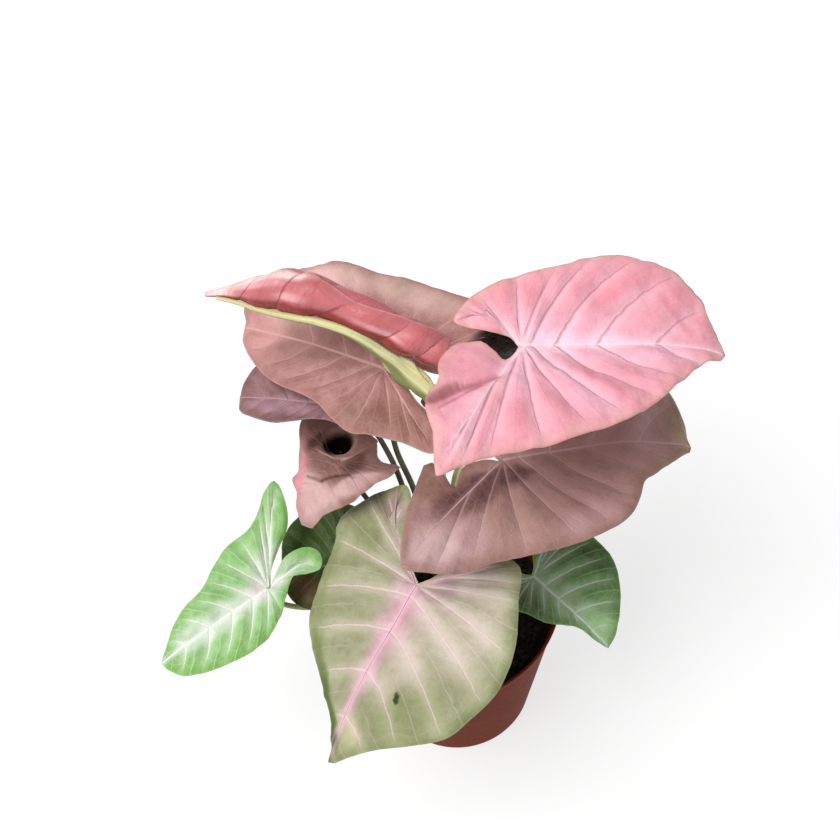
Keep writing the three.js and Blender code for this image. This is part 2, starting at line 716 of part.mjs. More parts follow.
const stalks = [...LEAVES.map(({ stalk }) => stalk), ROLLED.stalk];
place('pot', toGeometry(potSolid()), COLOUR.terracotta, 0.45);
place('soil', toGeometry(soilSolid(stalks)), COLOUR.soil, 1);
LEAVES.forEach((leaf) => {
  place(`petiole_${leaf.name}`, openPetiole(leaf), leaf.stalk.colour, 0.5);
  place(`leaf_${leaf.name}`, openBlade(leaf), leaf.colour, 0.45);
});
place('petiole_rolled', rolledPetiole(), ROLLED.stalk.colour, 0.5);
place('leaf_rolled', rolledBlade(), ROLLED.colour, 0.4);

export default group;
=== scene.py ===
"""Potted pink arrowhead vine in a nursery pot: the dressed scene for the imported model.

Millimetres until a mesh is made, then metres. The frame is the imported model's: +Z up, the origin at
the middle of the pot's flat base. An open blade is drawn flat first, with x along the midrib from
the junction (0) to the tip and y positive on the left, then relieved, bent and carried to its place.
"""

import logging
from collections.abc import Sequence
from dataclasses import dataclass, field
from enum import Enum

import bpy
import numpy as np
from mathutils import Matrix

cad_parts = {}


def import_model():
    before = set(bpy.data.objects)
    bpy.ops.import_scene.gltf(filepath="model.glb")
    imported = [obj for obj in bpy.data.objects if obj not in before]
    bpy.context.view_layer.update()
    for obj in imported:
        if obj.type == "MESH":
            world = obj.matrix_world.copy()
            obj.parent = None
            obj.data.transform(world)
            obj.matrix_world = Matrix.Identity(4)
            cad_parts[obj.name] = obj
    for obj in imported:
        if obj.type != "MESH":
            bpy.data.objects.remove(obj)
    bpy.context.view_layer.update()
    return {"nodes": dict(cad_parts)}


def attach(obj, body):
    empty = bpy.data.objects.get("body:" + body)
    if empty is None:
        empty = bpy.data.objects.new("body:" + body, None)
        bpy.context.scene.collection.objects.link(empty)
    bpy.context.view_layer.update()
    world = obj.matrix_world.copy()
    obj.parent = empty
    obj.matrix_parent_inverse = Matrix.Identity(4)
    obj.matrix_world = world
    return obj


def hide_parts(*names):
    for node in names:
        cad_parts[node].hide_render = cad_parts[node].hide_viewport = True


Array = np.ndarray
Socket = bpy.types.NodeSocket
Tree = bpy.types.NodeTree

MM = 0.001
SHEET_UV = "flat"
UV_SPAN = 100.0
MATH, VECTOR, MIX = "ShaderNodeMath", "ShaderNodeVectorMath", "ShaderNodeMix"
RANGE, NOISE, BUMP = "ShaderNodeMapRange", "ShaderNodeTexNoise", "ShaderNodeBump"
READ, SKIN, OUTPUT = "ShaderNodeAttribute", "ShaderNodeBsdfPrincipled", "ShaderNodeOutputMaterial"
# Settings that many nodes share: a mix of colours, and a range that eases in and out
COLOURS = {"out": 2, "data_type": "RGBA"}
SOFT = {"interpolation_type": "SMOOTHSTEP"}
# The numbers that a blade holds at its corners for its finish, and 1 on its lower skin
BLADE_NUMBERS = ("vein", "across", "spacing", "edge", "rib")
UNDER = "under"
log = logging.getLogger("plant")


def linear(code: str) -> tuple[float, float, float, float]:
    """Turn an sRGB hex colour into linear red, green, blue and alpha.

    Args:
        code: the colour, as #rrggbb.

    Returns:
        The four channels, by the sRGB curve: a straight foot, then a power of 2.4.
    """
    parts = [int(code[i : i + 2], 16) / 255 for i in (1, 3, 5)]
    red, green, blue = (c / 12.92 if c < 0.04045 else ((c + 0.055) / 1.055) ** 2.4 for c in parts)
    return red, green, blue, 1.0


def add(
    tree: Tree, kind: str, inputs: dict[int | str, object], out: int = 0, **settings: object
) -> Socket | None:
    """Add a node with its settings and links.

    Args:
        tree: the node tree that gets it.
        kind: the node's type.
        inputs: by the socket's name or number, a value to set or an output to link.
        out: the number of the output to return.
        settings: the node's own properties.

    Returns:
        The chosen output, or none where the node has no outputs.
    """
    node = tree.nodes.new(kind)
    for name, value in settings.items():
        setattr(node, name, value)
    for name, value in inputs.items():
        if isinstance(value, bpy.types.NodeSocket):
            tree.links.new(value, node.inputs[name])
        else:
            node.inputs[name].default_value = value
    return node.outputs[out] if node.outputs else None


def start_material(name: str) -> tuple[bpy.types.Material, Tree]:
    """Make an empty node material.

    Args:
        name: the finish's name.

    Returns:
        The material and its tree, with no nodes in it.
    """
    material = bpy.data.materials.new(name)
    material.use_nodes = True
    material.node_tree.nodes.clear()
    return material, material.node_tree


def wash(
    tree: Tree,
    colour: Socket | tuple[float, ...],
    code: str,
    where: Socket,
    between: tuple[float, float],
    strength: tuple[float, float],
    soft: bool = True,
) -> Socket:
    """Lay a colour over another, by a share that changes as a number crosses a range.

    Args:
        tree: the node tree.
        colour: what it is laid on.
        code: the colour laid on, as #rrggbb.
        where: the number.
        between: the two ends of the number's range.
        strength: the share of the new colour at each end.
        soft: eases the change at both ends.

    Returns:
        The mixed colour.
    """
    inputs = {0: where, 1: between[0], 2: between[1], 3: strength[0], 4: strength[1]}
    share = add(tree, RANGE, inputs, **(SOFT if soft else {}))
    return add(tree, MIX, {0: share, 6: colour, 7: linear(code)}, **COLOURS)


def place_in_mm(tree: Tree) -> Socket:
    """The place in the object's own coordinates, in millimetres."""
    place = add(tree, "ShaderNodeTexCoord", {}, out=3)
    return add(tree, VECTOR, {0: place, 3: 1 / MM}, operation="SCALE")


def coarser() -> int:
    return 1


def spline(knots: Array, share: Array, power: float = 0.25) -> Array:
    """Points of a Catmull-Rom curve.

    Each segment is the cubic through its two knots whose end slopes are the usual divided
    differences, with each knot gap weighed as the squared distance to the given power. The ends are
    carried on straight.

    Args:
        knots: the points that the curve passes through, a row each.
        share: places on the curve, 0 at the first knot and 1 at the last, even by knot.
        power: 0.25 for a centripetal curve, 0.5 for a chordal one.

    Returns:
        A row for each share.
    """
    padded = np.vstack([2 * knots[0] - knots[1], knots, 2 * knots[-1] - knots[-2]])
    place = np.clip(share, 0, 1) * (len(knots) - 1)
    first = np.minimum(place.astype(int), len(knots) - 2)
    u = (place - first)[:, None]
    p0, p1, p2, p3 = (padded[first + k] for k in range(4))
    g0, g1, g2 = (
        np.maximum(np.sum((b - a) ** 2, axis=1, keepdims=True), 1e-12) ** power
        for a, b in ((p0, p1), (p1, p2), (p2, p3))
    )
    s1 = ((p1 - p0) / g0 - (p2 - p0) / (g0 + g1) + (p2 - p1) / g1) * g1
    s2 = ((p2 - p1) / g1 - (p3 - p1) / (g1 + g2) + (p3 - p2) / g2) * g1
    return p1 + u * (s1 + u * ((3 * (p2 - p1) - 2 * s1 - s2) + u * (2 * (p1 - p2) + s1 + s2)))


def curve_course(knots: Array, share: Array) -> Array:
    """The unit direction of a Catmull-Rom curve: from a place just behind to one just ahead."""
    ahead, behind = (spline(knots, np.clip(share + step, 0, 1)) for step in (1e-4, -1e-4))
    return unit(ahead - behind)


def run_lengths(points: Array) -> Array:
    """The length run along a polyline from its first point to each point."""
    return np.concatenate([[0], np.cumsum(np.linalg.norm(np.diff(points, axis=0), axis=1))])


def along_way(points: Array, share: Array) -> Array:
    """Points of a polyline at shares of its whole length, by straight interpolation.

    Args:
        points: the polyline, a row each.
        share: places on it from 0 to 1.

    Returns:
        A row for each share.
    """
    run = run_lengths(points)
    return np.stack([np.interp(share * run[-1], run, axis) for axis in points.T], axis=1)


def circle(count: int) -> Array:
    """Points of the unit circle at even turns, (cos, sin), a row each."""
    turn = 2 * np.pi * np.arange(count) / count
    return np.stack([np.cos(turn), np.sin(turn)], axis=1)


def distance_to(points: Array, line: Array) -> Array:
    """The distance from each point to the nearest place on a polyline.

    Args:
        points: places in the plane, a row each.
        line: the polyline's points, a row each.

    Returns:
        A distance for each point.
    """
    start, course = line[:-1], np.diff(line, axis=0)
    length = np.maximum(np.sum(course**2, axis=1), 1e-12)
    offset = points[:, None] - start
    share = np.clip(np.sum(offset * course, axis=2) / length, 0, 1)
    return np.linalg.norm(offset - share[..., None] * course, axis=2).min(axis=1)


def unit(vectors: Array) -> Array:
    """Scale each row to length one."""
    return vectors / np.maximum(np.linalg.norm(vectors, axis=-1, keepdims=True), 1e-12)


def ease(value: Array, low: float, high: float) -> Array:
    """Rise smoothly from 0 at low to 1 at high, by 3s^2 - 2s^3."""
    s = np.clip((value - low) / (high - low), 0, 1)
    return s * s * (3 - 2 * s)


def rough(points: Array, size: float, seed: int) -> Array:
    """A smooth unevenness between about -1 and 1 over a plane or space.

    The sum of nine sine waves in random directions, with wavelengths from 0.7 to 1.6 times the size.

    Args:
        points: places, a row each.
        size: the typical wavelength in the points' own unit.
        seed: fixes the waves.

    Returns:
        A number for each point.
    """
    chance = np.random.default_rng(seed)
    total = np.zeros(len(points))
    for _ in range(9):
        course = unit(chance.normal(size=points.shape[1]))
        length = size * chance.uniform(0.7, 1.6)
        total += np.sin(points @ course * (2 * np.pi / length) + chance.uniform(0, 2 * np.pi))
    return total / 4.5


def grid_faces(rows: int, columns: int, wraps: bool = False) -> Array:
    """Triangles of a grid, as numbers of its points row by row.

    Args:
        rows: points down the grid.
        columns: points across it.
        wraps: joins the last column to the first.

    Returns:
        Triangles, a row of three each: a point, the next across, and the two in the row after.
    """
    across = columns if wraps else columns - 1
    i, j = np.meshgrid(np.arange(rows - 1), np.arange(across), indexing="ij")
    a, b = i * columns + j, i * columns + (j + 1) % columns
    c, d = b + columns, a + columns
    return np.stack([a, b, c, a, c, d], axis=-1).reshape(-1, 3)


def whole(faces: Array) -> Array:
    """Which triangles have three different points."""
    a, b, c = faces.T
    return (a != b) & (b != c) & (c != a)


def edges(faces: Array) -> tuple[Array, Array]:
    """The start and end of each triangle's first edges, then of the second and third ones."""
    return faces.T.ravel(), np.roll(faces, -1, axis=1).T.ravel()


def open_edges(start: Array, end: Array, count: int) -> Array:
    """Which edges no triangle runs back along, where there are count points."""
    return ~np.isin(start * count + end, end * count + start)


def normals(points: Array, faces: Array) -> Array:
    """Vertex normals: the unit sum of the cross products of the faces round each point."""
    a, b, c = (points[faces[:, k]] for k in range(3))
    cross = np.cross(b - a, c - a)
    total = np.zeros_like(points)
    for k in range(3):
        np.add.at(total, faces[:, k], cross)
    return unit(total)


@dataclass
class Surface:
    """A triangle mesh in millimetres, with numbers held at each face corner."""

    points: Array
    faces: Array
    corners: dict[str, Array] = field(default_factory=dict)
    uv: Array | None = None

    def at_corners(self, values: dict[str, Array]) -> "Surface":
        """Spread numbers held at points to the corners that meet there."""
        self.corners = {name: value[self.faces.ravel()] for name, value in values.items()}
        return self

    def joined(self, other: "Surface") -> "Surface":
        """Add another surface with the same numbers."""
        return Surface(
            np.vstack([self.points, other.points]),
            np.vstack([self.faces, other.faces + len(self.points)]),
            {n: np.concatenate([v, other.corners[n]]) for n, v in self.corners.items()},
        )

    def piece(
        self,
        name: str,
        material: bpy.types.Material,
        slot: str,
        nodes: Sequence[str],
        smooth: bool = True,
    ) -> bpy.types.Object:
        """Make the Blender piece.

        Args:
            name: the piece's name.
            material: its finish.
            slot: the record's slot for the finish; not used.
            nodes: the CAD nodes that it stands for.
            smooth: shades it as one curved surface.

        Returns:
            The new object, at the origin, riding on the plant.
        """
        mesh = bpy.data.meshes.new(name)
        mesh.from_pydata((self.points * MM).tolist(), [], self.faces.tolist())
        for label, values in self.corners.items():
            layer = mesh.attributes.new(label, "FLOAT", "CORNER")
            layer.data.foreach_set("value", np.ascontiguousarray(values, dtype=np.float32))
        if self.uv is not None:
            layer = mesh.uv_layers.new(name=SHEET_UV)
            layer.data.foreach_set("uv", np.ascontiguousarray(self.uv, dtype=np.float32).ravel())
        mesh.polygons.foreach_set("use_smooth", [smooth] * len(mesh.polygons))
        mesh.materials.append(material)
        mesh.validate()
        mesh.update()
        made = bpy.data.objects.new(name, mesh)
        bpy.context.scene.collection.objects.link(made)
        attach(made, "root")
        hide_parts(*nodes)
        log.info("%s: %d triangles", name, len(mesh.polygons))
        return made


def shell(
    points: Array, faces: Array, merged: Array, above: Array, below: Array, plain: Array | None = None
) -> tuple[Array, Array, Array]:
    """Give a sheet its two skins and close them along its open edges.

    A point's two copies stand off it along its normal by above and below. Each open edge gets two
    triangles between the skins.

    Args:
        points: the sheet's merged points.
        faces: triangles of the numbers of unmerged grid points.
        merged: the merged point of each grid point.
        above: how far the upper skin stands off each merged point.
        below: how far the lower skin does.
        plain: the points without their relief, for steadier normals where triangles are slivers.

    Returns:
        Points, triangles of merged points, and for each corner its unmerged grid point, made
        negative less one on the lower skin.
    """
    thin = merged[faces]
    keep = whole(thin)
    faces, thin = faces[keep], thin[keep]
    out = normals(points if plain is None else plain, thin)
    count = len(points)
    skins = np.vstack([points + out * above[:, None], points - out * below[:, None]])
    start, end = edges(thin)
    grid_start, grid_end = edges(faces)
    free = open_edges(start, end, count)
    a, b, ga, gb = start[free], end[free], grid_start[free], grid_end[free]
    solid = np.vstack([
        thin,
        thin[:, ::-1] + count,
        np.stack([a, a + count, b + count], axis=1),
        np.stack([a, b + count, b], axis=1),
    ])
    source = np.vstack([
        faces,
        -1 - faces[:, ::-1],
        np.stack([ga, -1 - ga, -1 - gb], axis=1),
        np.stack([ga, -1 - gb, gb], axis=1),
    ])
    return skins, solid, source


class Slot(Enum):
    """The record's material slots."""

    POT = "pot"
    SOIL = "soil"
    BRIGHT_PINK = "leaf_bright_pink"
    DUSTY_ROSE = "leaf_dusty_rose"
    ROSE_BROWN = "leaf_rose_brown"
    MAUVE = "leaf_mauve"
    PINK_GREEN = "leaf_pink_green"
    PALE_GREEN = "leaf_pale_green"
    GREEN = "leaf_green"
    DARK_GREEN = "leaf_dark_green"
    CORAL = "leaf_coral"
    STALK_GREEN = "stalk_green"
    STALK_PALE = "stalk_pale"
    STALK_DARK = "stalk_dark"


@dataclass(frozen=True)
class Patch:
    """An oval area of a flat blade: its middle, half width along and across, turn, and hardness."""

    x: float
    y: float
    along: float
    across: float
    turn: float = 0.0
    hard: float = 1.0

    def weight(self, flat: Array) -> Array:
        """One at the middle, falling as exp(-distance^(2 hard)) with distance in half widths."""
        turn = np.radians(self.turn)
        dx, dy = flat[:, 0] - self.x, flat[:, 1] - self.y
        u = (dx * np.cos(turn) + dy * np.sin(turn)) / self.along
        v = (dy * np.cos(turn) - dx * np.sin(turn)) / self.across
        return np.exp(-((u * u + v * v) ** self.hard))


@dataclass(frozen=True)
class Tint:
    """A colour that a blade takes in some areas, how much of it, and if it hides the veins; some are the
    leaf's own colour, some painted light and shade.
    """

    colour: str
    strength: float
    patches: tuple[Patch, ...]
    over: bool = False

    def weight(self, flat: Array) -> Array:
        """The patches together: one less the product of what each leaves."""
        left = np.ones(len(flat))
        for patch in self.patches:
            left *= 1 - patch.weight(flat)
        return 1 - left


@dataclass(frozen=True)
class Stroke:
    """A line laid in the skin of a flat blade, such as a painted shadow along a fold or a painted highlight
    on a lip: its ends, half width, colour and strength.
    """

    start: tuple[float, float]
    end: tuple[float, float]
    width: float
    colour: str
    strength: float

    def lay(self, tree: Tree, spot: Socket, colour: Socket) -> Socket:
        """Draw the line, full in its middle and gone at its half width.

        With p the place, a the start and b the end, the distance is |p - a - (b - a) share|, and
        share is (p - a).(b - a) / |b - a|^2 kept between 0 and 1.

        Args:
            tree: the node tree.
            spot: the place in the flat blade, in millimetres.
            colour: what the line is drawn on.

        Returns:
            The colour with the line.
        """
        dx, dy = self.end[0] - self.start[0], self.end[1] - self.start[1]
        square = dx * dx + dy * dy
        scaled = (dx / square, dy / square, 0.0)
        offset = add(tree, VECTOR, {0: spot, 1: (*self.start, 0.0)}, operation="SUBTRACT")
        share = add(tree, VECTOR, {0: offset, 1: scaled}, out=1, operation="DOT_PRODUCT")
        share = add(tree, MATH, {0: share, 1: 0.0}, use_clamp=True)
        nearest = add(tree, VECTOR, {0: (dx, dy, 0.0), 3: share}, operation="SCALE")
        away = add(tree, VECTOR, {0: offset, 1: nearest}, out=1, operation="DISTANCE")
        return wash(tree, colour, self.colour, away, (0.0, self.width), (self.strength, 0.0))


@dataclass(frozen=True)
class LeafFinish:
    """Living syngonium leaf, a thin waxy skin over coloured tissue.

    The wax gives a broad soft sheen. The veins show as paler lines in the tissue, pressed in a
    little on the upper side, with finer ones between them down to a net of 4 mm cells.
    """

    name: str
    blade: str
    mottle: str
    vein: str
    margin: str
    rim: str
    underside: str
    tints: tuple[Tint, ...] = ()
    rib_colour: str = ""
    core: str = ""
    mottled: float = 0.5
    veined: float = 0.7
    halo: float = 0.25
    rib: float = 0.9
    net: float = 0.12
    deep: float = 0.3
    margin_width: float = 6.0
    margined: float = 0.5
    ring: float = 0.15
    rimmed: float = 0.4
    dusk: str = "#b0908a"
    roughness: float = 0.42
    vein_width: float = 0.62
    pleat: float = 2.8
    strokes: tuple[Stroke, ...] = ()
    cloud_sizes: tuple[float, float, float] = (17.0, 4.5, 0.9)
    cell: float = 4.0
    ring_inset: float = 8.4
    bump_depth: float = 0.6

    def tinted(self, tree: Tree, colour: Socket, blotch: Socket, over: bool) -> Socket:
        """Lay on the tints that lie under the veins, or those over them, with uneven borders.

        Args:
            tree: the node tree.
            colour: what they are laid on.
            blotch: the unevenness.
            over: picks those over the veins.

        Returns:
            The colour with the tints.
        """
        uneven = add(tree, MATH, {0: blotch, 1: 0.9, 2: -0.45}, operation="MULTIPLY_ADD")
        for number, tint in enumerate(self.tints):
            if tint.over == over:
                weight = add(tree, READ, {}, out=2, attribute_name=f"tint{number}")
                weight = add(tree, MATH, {0: weight, 1: uneven})
                colour = wash(tree, colour, tint.colour, weight, (0.1, 0.85), (0.0, tint.strength))
        return colour

    def material(self) -> bpy.types.Material:
        """Build the finish from the blade's vein, edge and flat coordinates.

        Returns:
            The material.
        """
        made, tree = start_material(self.name)
        rib_colour = self.rib_colour or self.vein
        uv = add(tree, "ShaderNodeUVMap", {}, uv_map=SHEET_UV)
        spot = add(tree, VECTOR, {0: uv, 3: UV_SPAN}, operation="SCALE")
        vein, across, gap, edge, rib, under = (
            add(tree, READ, {}, out=2, attribute_name=name) for name in (*BLADE_NUMBERS, UNDER)
        )
        broad, mid, fine = (
            add(tree, NOISE, {"Vector": spot, "Scale": 1 / size, "Detail": 3.0, "Roughness": 0.52})
            for size in self.cloud_sizes
        )
        stretched = add(tree, "ShaderNodeCombineXYZ", {0: vein, 1: across})
        stretched = add(tree, VECTOR, {0: stretched, 1: (2.6, 2.2, 1.0)}, operation="MULTIPLY")
        streak = add(tree, NOISE, {"Vector": stretched, "Scale": 1.0, "Detail": 3.0, "Roughness": 0.5})
        # Lateral veins stand at whole vein numbers, and wander a little
        wander = add(tree, MATH, {0: mid, 1: 0.1, 2: -0.05}, operation="MULTIPLY_ADD")
        course = add(tree, MATH, {0: vein, 1: wander})
        near = add(tree, MATH, {0: course, 1: 0.5}, operation="PINGPONG")
        away = add(tree, MATH, {0: near, 1: gap}, operation="MULTIPLY")
        half = add(tree, RANGE, {0: across, 3: self.vein_width, 4: 0.32 * self.vein_width})
        slim = add(tree, MATH, {0: away, 1: half}, operation="DIVIDE")
        line = add(tree, RANGE, {0: slim, 1: 0.2, 2: 1.7, 3: 1.0, 4: 0.0}, **SOFT)
        # The collecting vein loops from one lateral to the next, some millimetres inside the margin
        ring = add(tree, MATH, {0: near, 1: 6.0, 2: edge}, operation="MULTIPLY_ADD")
        ring = add(tree, MATH, {0: broad, 1: 4.0, 2: ring}, operation="MULTIPLY_ADD")
        inside = add(tree, RANGE, {0: ring, 1: 4.5, 2: 9.5, 3: 0.1, 4: 1.0})
        ring = add(tree, MATH, {0: ring, 1: self.ring_inset}, operation="SUBTRACT")
        ring = add(tree, MATH, {0: ring}, operation="ABSOLUTE")
        ring = add(tree, RANGE, {0: ring, 1: 0.1, 2: 0.75, 3: self.ring, 4: 0.0}, **SOFT)
        line = add(tree, MATH, {0: line, 1: inside}, operation="MULTIPLY")
        # Where veins crowd together at the junction no single one shows
        clear = add(tree, RANGE, {0: gap, 1: 0.5, 2: 2.2}, **SOFT)
        line = add(tree, MATH, {0: line, 1: clear}, operation="MULTIPLY")
        glow = add(tree, RANGE, {0: away, 1: 0.0, 2: 4.2, 3: 1.0, 4: 0.0}, **SOFT)
        fade = add(tree, RANGE, {0: across, 1: 0.0, 2: 0.95, 3: 1.0, 4: 0.12})
        glow = add(tree, MATH, {0: glow, 1: fade}, operation="MULTIPLY")
        # A finer vein runs halfway between two laterals
        other = add(tree, MATH, {0: 0.5, 1: near}, operation="SUBTRACT")
        other = add(tree, MATH, {0: other, 1: gap}, operation="MULTIPLY")
        second = add(tree, RANGE, {0: other, 1: 0.05, 2: 0.5, 3: 0.4, 4: 0.0}, **SOFT)
        fade = add(tree, RANGE, {0: across, 1: 0.15, 2: 0.5})
        second = add(tree, MATH, {0: second, 1: fade}, operation="MULTIPLY")
        second = add(tree, MATH, {0: second, 1: clear}, operation="MULTIPLY")
        # The net between the veins
        bent = add(tree, VECTOR, {0: spot, 1: (0.9, 0.9, 0.0), 2: mid}, operation="MULTIPLY_ADD")
        cell = {"Vector": bent, "Scale": 1 / self.cell}
        cells = add(tree, "ShaderNodeTexVoronoi", cell, feature="DISTANCE_TO_EDGE")
        net = add(tree, RANGE, {0: cells, 1: 0.0, 2: 0.12, 3: self.net, 4: 0.0}, **SOFT)
        rib_line = add(tree, RANGE, {0: rib, 1: 0.5, 2: 1.4, 3: self.rib, 4: 0.0}, **SOFT)
        rib_glow = add(tree, RANGE, {0: rib, 1: 0.8, 2: 7.0, 3: 1.0, 4: 0.0}, **SOFT)

        streaked = add(tree, MATH, {0: clear, 1: 0.5}, operation="MULTIPLY")
        blotch = add(tree, MIX, {0: streaked, 2: broad, 3: streak})
        colour = wash(tree, linear(self.blade), self.mottle, blotch, (0.38, 0.62), (0.0, self.mottled))
        colour = self.tinted(tree, colour, blotch, over=False)
        reach = add(tree, MATH, {0: blotch, 1: 1.6 * self.margin_width, 2: edge}, operation="MULTIPLY_ADD")
        border = (0.8 * self.margin_width, 1.9 * self.margin_width)
        colour = wash(tree, colour, self.margin, reach, border, (self.margined, 0.0))
        # Tissue is deeper in colour between the veins, and finely uneven
        share = add(tree, RANGE, {0: near, 1: 0.05, 2: 0.5, 4: self.deep}, **SOFT)
        fleck = add(tree, RANGE, {0: mid, 1: 0.48, 2: 0.75, 4: 0.16})
        share = add(tree, MATH, {0: share, 1: fleck})
        grain = add(tree, RANGE, {0: fine, 1: 0.4, 2: 0.75, 4: 0.12})
        share = add(tree, MATH, {0: share, 1: grain})
        dusk = {0: share, 6: colour, 7: linear(self.dusk)}
        colour = add(tree, MIX, dusk, blend_type="MULTIPLY", **COLOURS)
        halo = add(tree, MATH, {0: glow, 1: rib_glow}, operation="MAXIMUM")
        halo = add(tree, MATH, {0: halo, 1: self.halo}, operation="MULTIPLY")
        colour = add(tree, MIX, {0: halo, 6: colour, 7: linear(rib_colour)}, **COLOURS)
        lines = add(tree, MATH, {0: line, 1: second}, operation="MAXIMUM")
        lines = add(tree, MATH, {0: lines, 1: ring}, operation="MAXIMUM")
        shown = add(tree, MATH, {0: lines, 1: self.veined}, operation="MULTIPLY")
        shown = add(tree, MATH, {0: shown, 1: net}, operation="MAXIMUM")
        colour = add(tree, MIX, {0: shown, 6: colour, 7: linear(self.vein)}, **COLOURS)
        colour = add(tree, MIX, {0: rib_line, 6: colour, 7: linear(rib_colour)}, **COLOURS)
        if self.core:
            colour = wash(tree, colour, self.core, rib, (0.15, 0.6), (0.8, 0.0))
        colour = wash(tree, colour, self.rim, edge, (0.1, 0.9), (self.rimmed, 0.0))
        colour = self.tinted(tree, colour, blotch, over=True)
        waved = add(tree, VECTOR, {0: spot, 1: mid})
        waved = add(tree, VECTOR, {0: waved, 1: (1.0, 1.0, 0.0)}, operation="MULTIPLY")
        for stroke in self.strokes:
            colour = stroke.lay(tree, waved, colour)
        share = add(tree, MATH, {0: under, 1: 0.75}, operation="MULTIPLY")
        colour = add(tree, MIX, {0: share, 6: colour, 7: linear(self.underside)}, **COLOURS)

        height = add(tree, MATH, {0: near, 1: streaked}, operation="MULTIPLY")
        height = add(tree, MATH, {0: height, 1: self.pleat}, operation="MULTIPLY")
        pressed = add(tree, MATH, {0: lines, 1: half}, operation="MULTIPLY")
        depths = ((pressed, -0.8), (rib_line, -0.2), (mid, 0.9), (blotch, 1.8), (net, -0.8), (fine, 0.16))
        for part, depth in depths:
            height = add(tree, MATH, {0: part, 1: depth, 2: height}, operation="MULTIPLY_ADD")
        bump = add(tree, BUMP, {"Height": height, "Strength": 0.85, "Distance": self.bump_depth * MM})
        dull = (self.roughness - 0.06, self.roughness + 0.1)
        gloss = add(tree, RANGE, {0: mid, 1: 0.3, 2: 0.7, 3: dull[0], 4: dull[1]})
        skin = add(tree, SKIN, {
            "Base Color": colour, "Roughness": gloss, "Normal": bump, "IOR": 1.45,
            "Specular IOR Level": 0.2,
        })
        add(tree, OUTPUT, {"Surface": skin})
        return made

    def dress(
        self,
        skins: tuple[Array, Array, Array],
        numbers: dict[str, Array],
        flat: Array,
        spots: Array,
        name: str,
        slot: Slot,
    ) -> bpy.types.Object:
        """Give a blade's two skins the numbers that the finish reads, and make the piece.

        Args:
            skins: what shell() returns.
            numbers: the blade's numbers at its grid points, by name.
            flat: the grid points in the flat blade, in millimetres.
            spots: the grid points in the plane that the tints are laid out in.
            name: the leaf's name.
            slot: the record's slot that the finish belongs to.

        Returns:
            The piece.
        """
        points, solid, source = skins
        grid = np.where(source < 0, -1 - source, source).ravel()
        surface = Surface(points, solid)
        surface.corners = {label: numbers[label][grid] for label in BLADE_NUMBERS}
        surface.corners[UNDER] = np.where(source.ravel() < 0, 1.0, 0.0)
        for number, tint in enumerate(self.tints):
            surface.corners[f"tint{number}"] = tint.weight(spots)[grid]
        surface.uv = flat[grid] / UV_SPAN
        return surface.piece(f"blade_{name}", self.material(), slot.value, [f"leaf_{name}"])


@dataclass(frozen=True)
class StalkFinish:
    """Fleshy green stalk, smooth and waxy, with fine grooves along it that catch the light."""

    name: str
    foot: str
    top: str
    streak: str
    shade: str
    dark: str = "#3b3a26"

    def material(self) -> bpy.types.Material:
        """Build the finish from the length run along the stalk and the turn round it.

        Returns:
            The material.
        """
        made, tree = start_material(self.name)
        uv = add(tree, "ShaderNodeUVMap", {}, uv_map=SHEET_UV)
        run = add(tree, READ, {}, out=2, attribute_name="run")
        # Streaks of 0.5 mm round the stalk and some 15 mm along it
        long = add(tree, "ShaderNodeMapping", {"Vector": uv, "Scale": (160.0, 6.0, 1.0)})
        streak = add(tree, NOISE, {"Vector": long, "Scale": 1.0, "Detail": 3.0})
        spot = add(tree, "ShaderNodeMapping", {"Vector": uv, "Scale": (70.0, 90.0, 1.0)})
        fleck = add(tree, NOISE, {"Vector": spot, "Scale": 1.0, "Detail": 2.0})
        colour = add(tree, MIX, {0: run, 6: linear(self.foot), 7: linear(self.top)}, **COLOURS)
        colour = wash(tree, colour, self.streak, streak, (0.42, 0.68), (0.0, 0.6))
        # The side turned down is painted a deeper green: painted shade
        down = add(tree, "ShaderNodeSeparateXYZ", {0: uv})
        down = add(tree, MATH, {0: down, 1: 0.08}, operation="SUBTRACT")
        down = add(tree, MATH, {0: down}, operation="ABSOLUTE")
        colour = wash(tree, colour, self.shade, down, (0.007, 0.021), (0.85, 0.0))
        colour = wash(tree, colour, self.dark, fleck, (0.6, 0.75), (0.0, 0.4))
        bump = add(tree, BUMP, {"Height": streak, "Strength": 0.6, "Distance": 0.3 * MM})
        gloss = add(tree, RANGE, {0: fleck, 3: 0.34, 4: 0.5})
        skin = add(tree, SKIN, {
            "Base Color": colour, "Roughness": gloss, "Normal": bump, "IOR": 1.45,
        })
        add(tree, OUTPUT, {"Surface": skin})
        return made


@dataclass(frozen=True)
class Crease:
    """A straight fold line pressed into a flat blade, up where height is positive."""

    start: tuple[float, float]
    end: tuple[float, float]
    width: float
    height: float

    def rise(self, flat: Array) -> Array:
        """The height times exp(-(distance to the line / width)^2), less towards both ends."""
        a, b = np.array(self.start), np.array(self.end)
        share = np.clip((flat - a) @ (b - a) / np.sum((b - a) ** 2), 0, 1)
        away = np.linalg.norm(flat - (a + share[:, None] * (b - a)), axis=1) / self.width
        return self.height * np.exp(-away * away) * np.sin(np.pi * (0.15 + 0.7 * share))


Bend = tuple[float, float, float, float, float]
Points = Sequence[tuple[float, float]]


def fold(angle: float) -> tuple[Bend, Bend]:
    """Both halves rise from the midrib."""
    return (0, 0, 90, 8, angle), (0, 0, -90, 8, angle)


def arch(out: float, radius: float, angle: float) -> tuple[Bend, Bend]:
    """Both halves hang again towards their margins, from the distance out."""
    return (0, out, 90, radius, -angle), (0, -out, -90, radius, -angle)


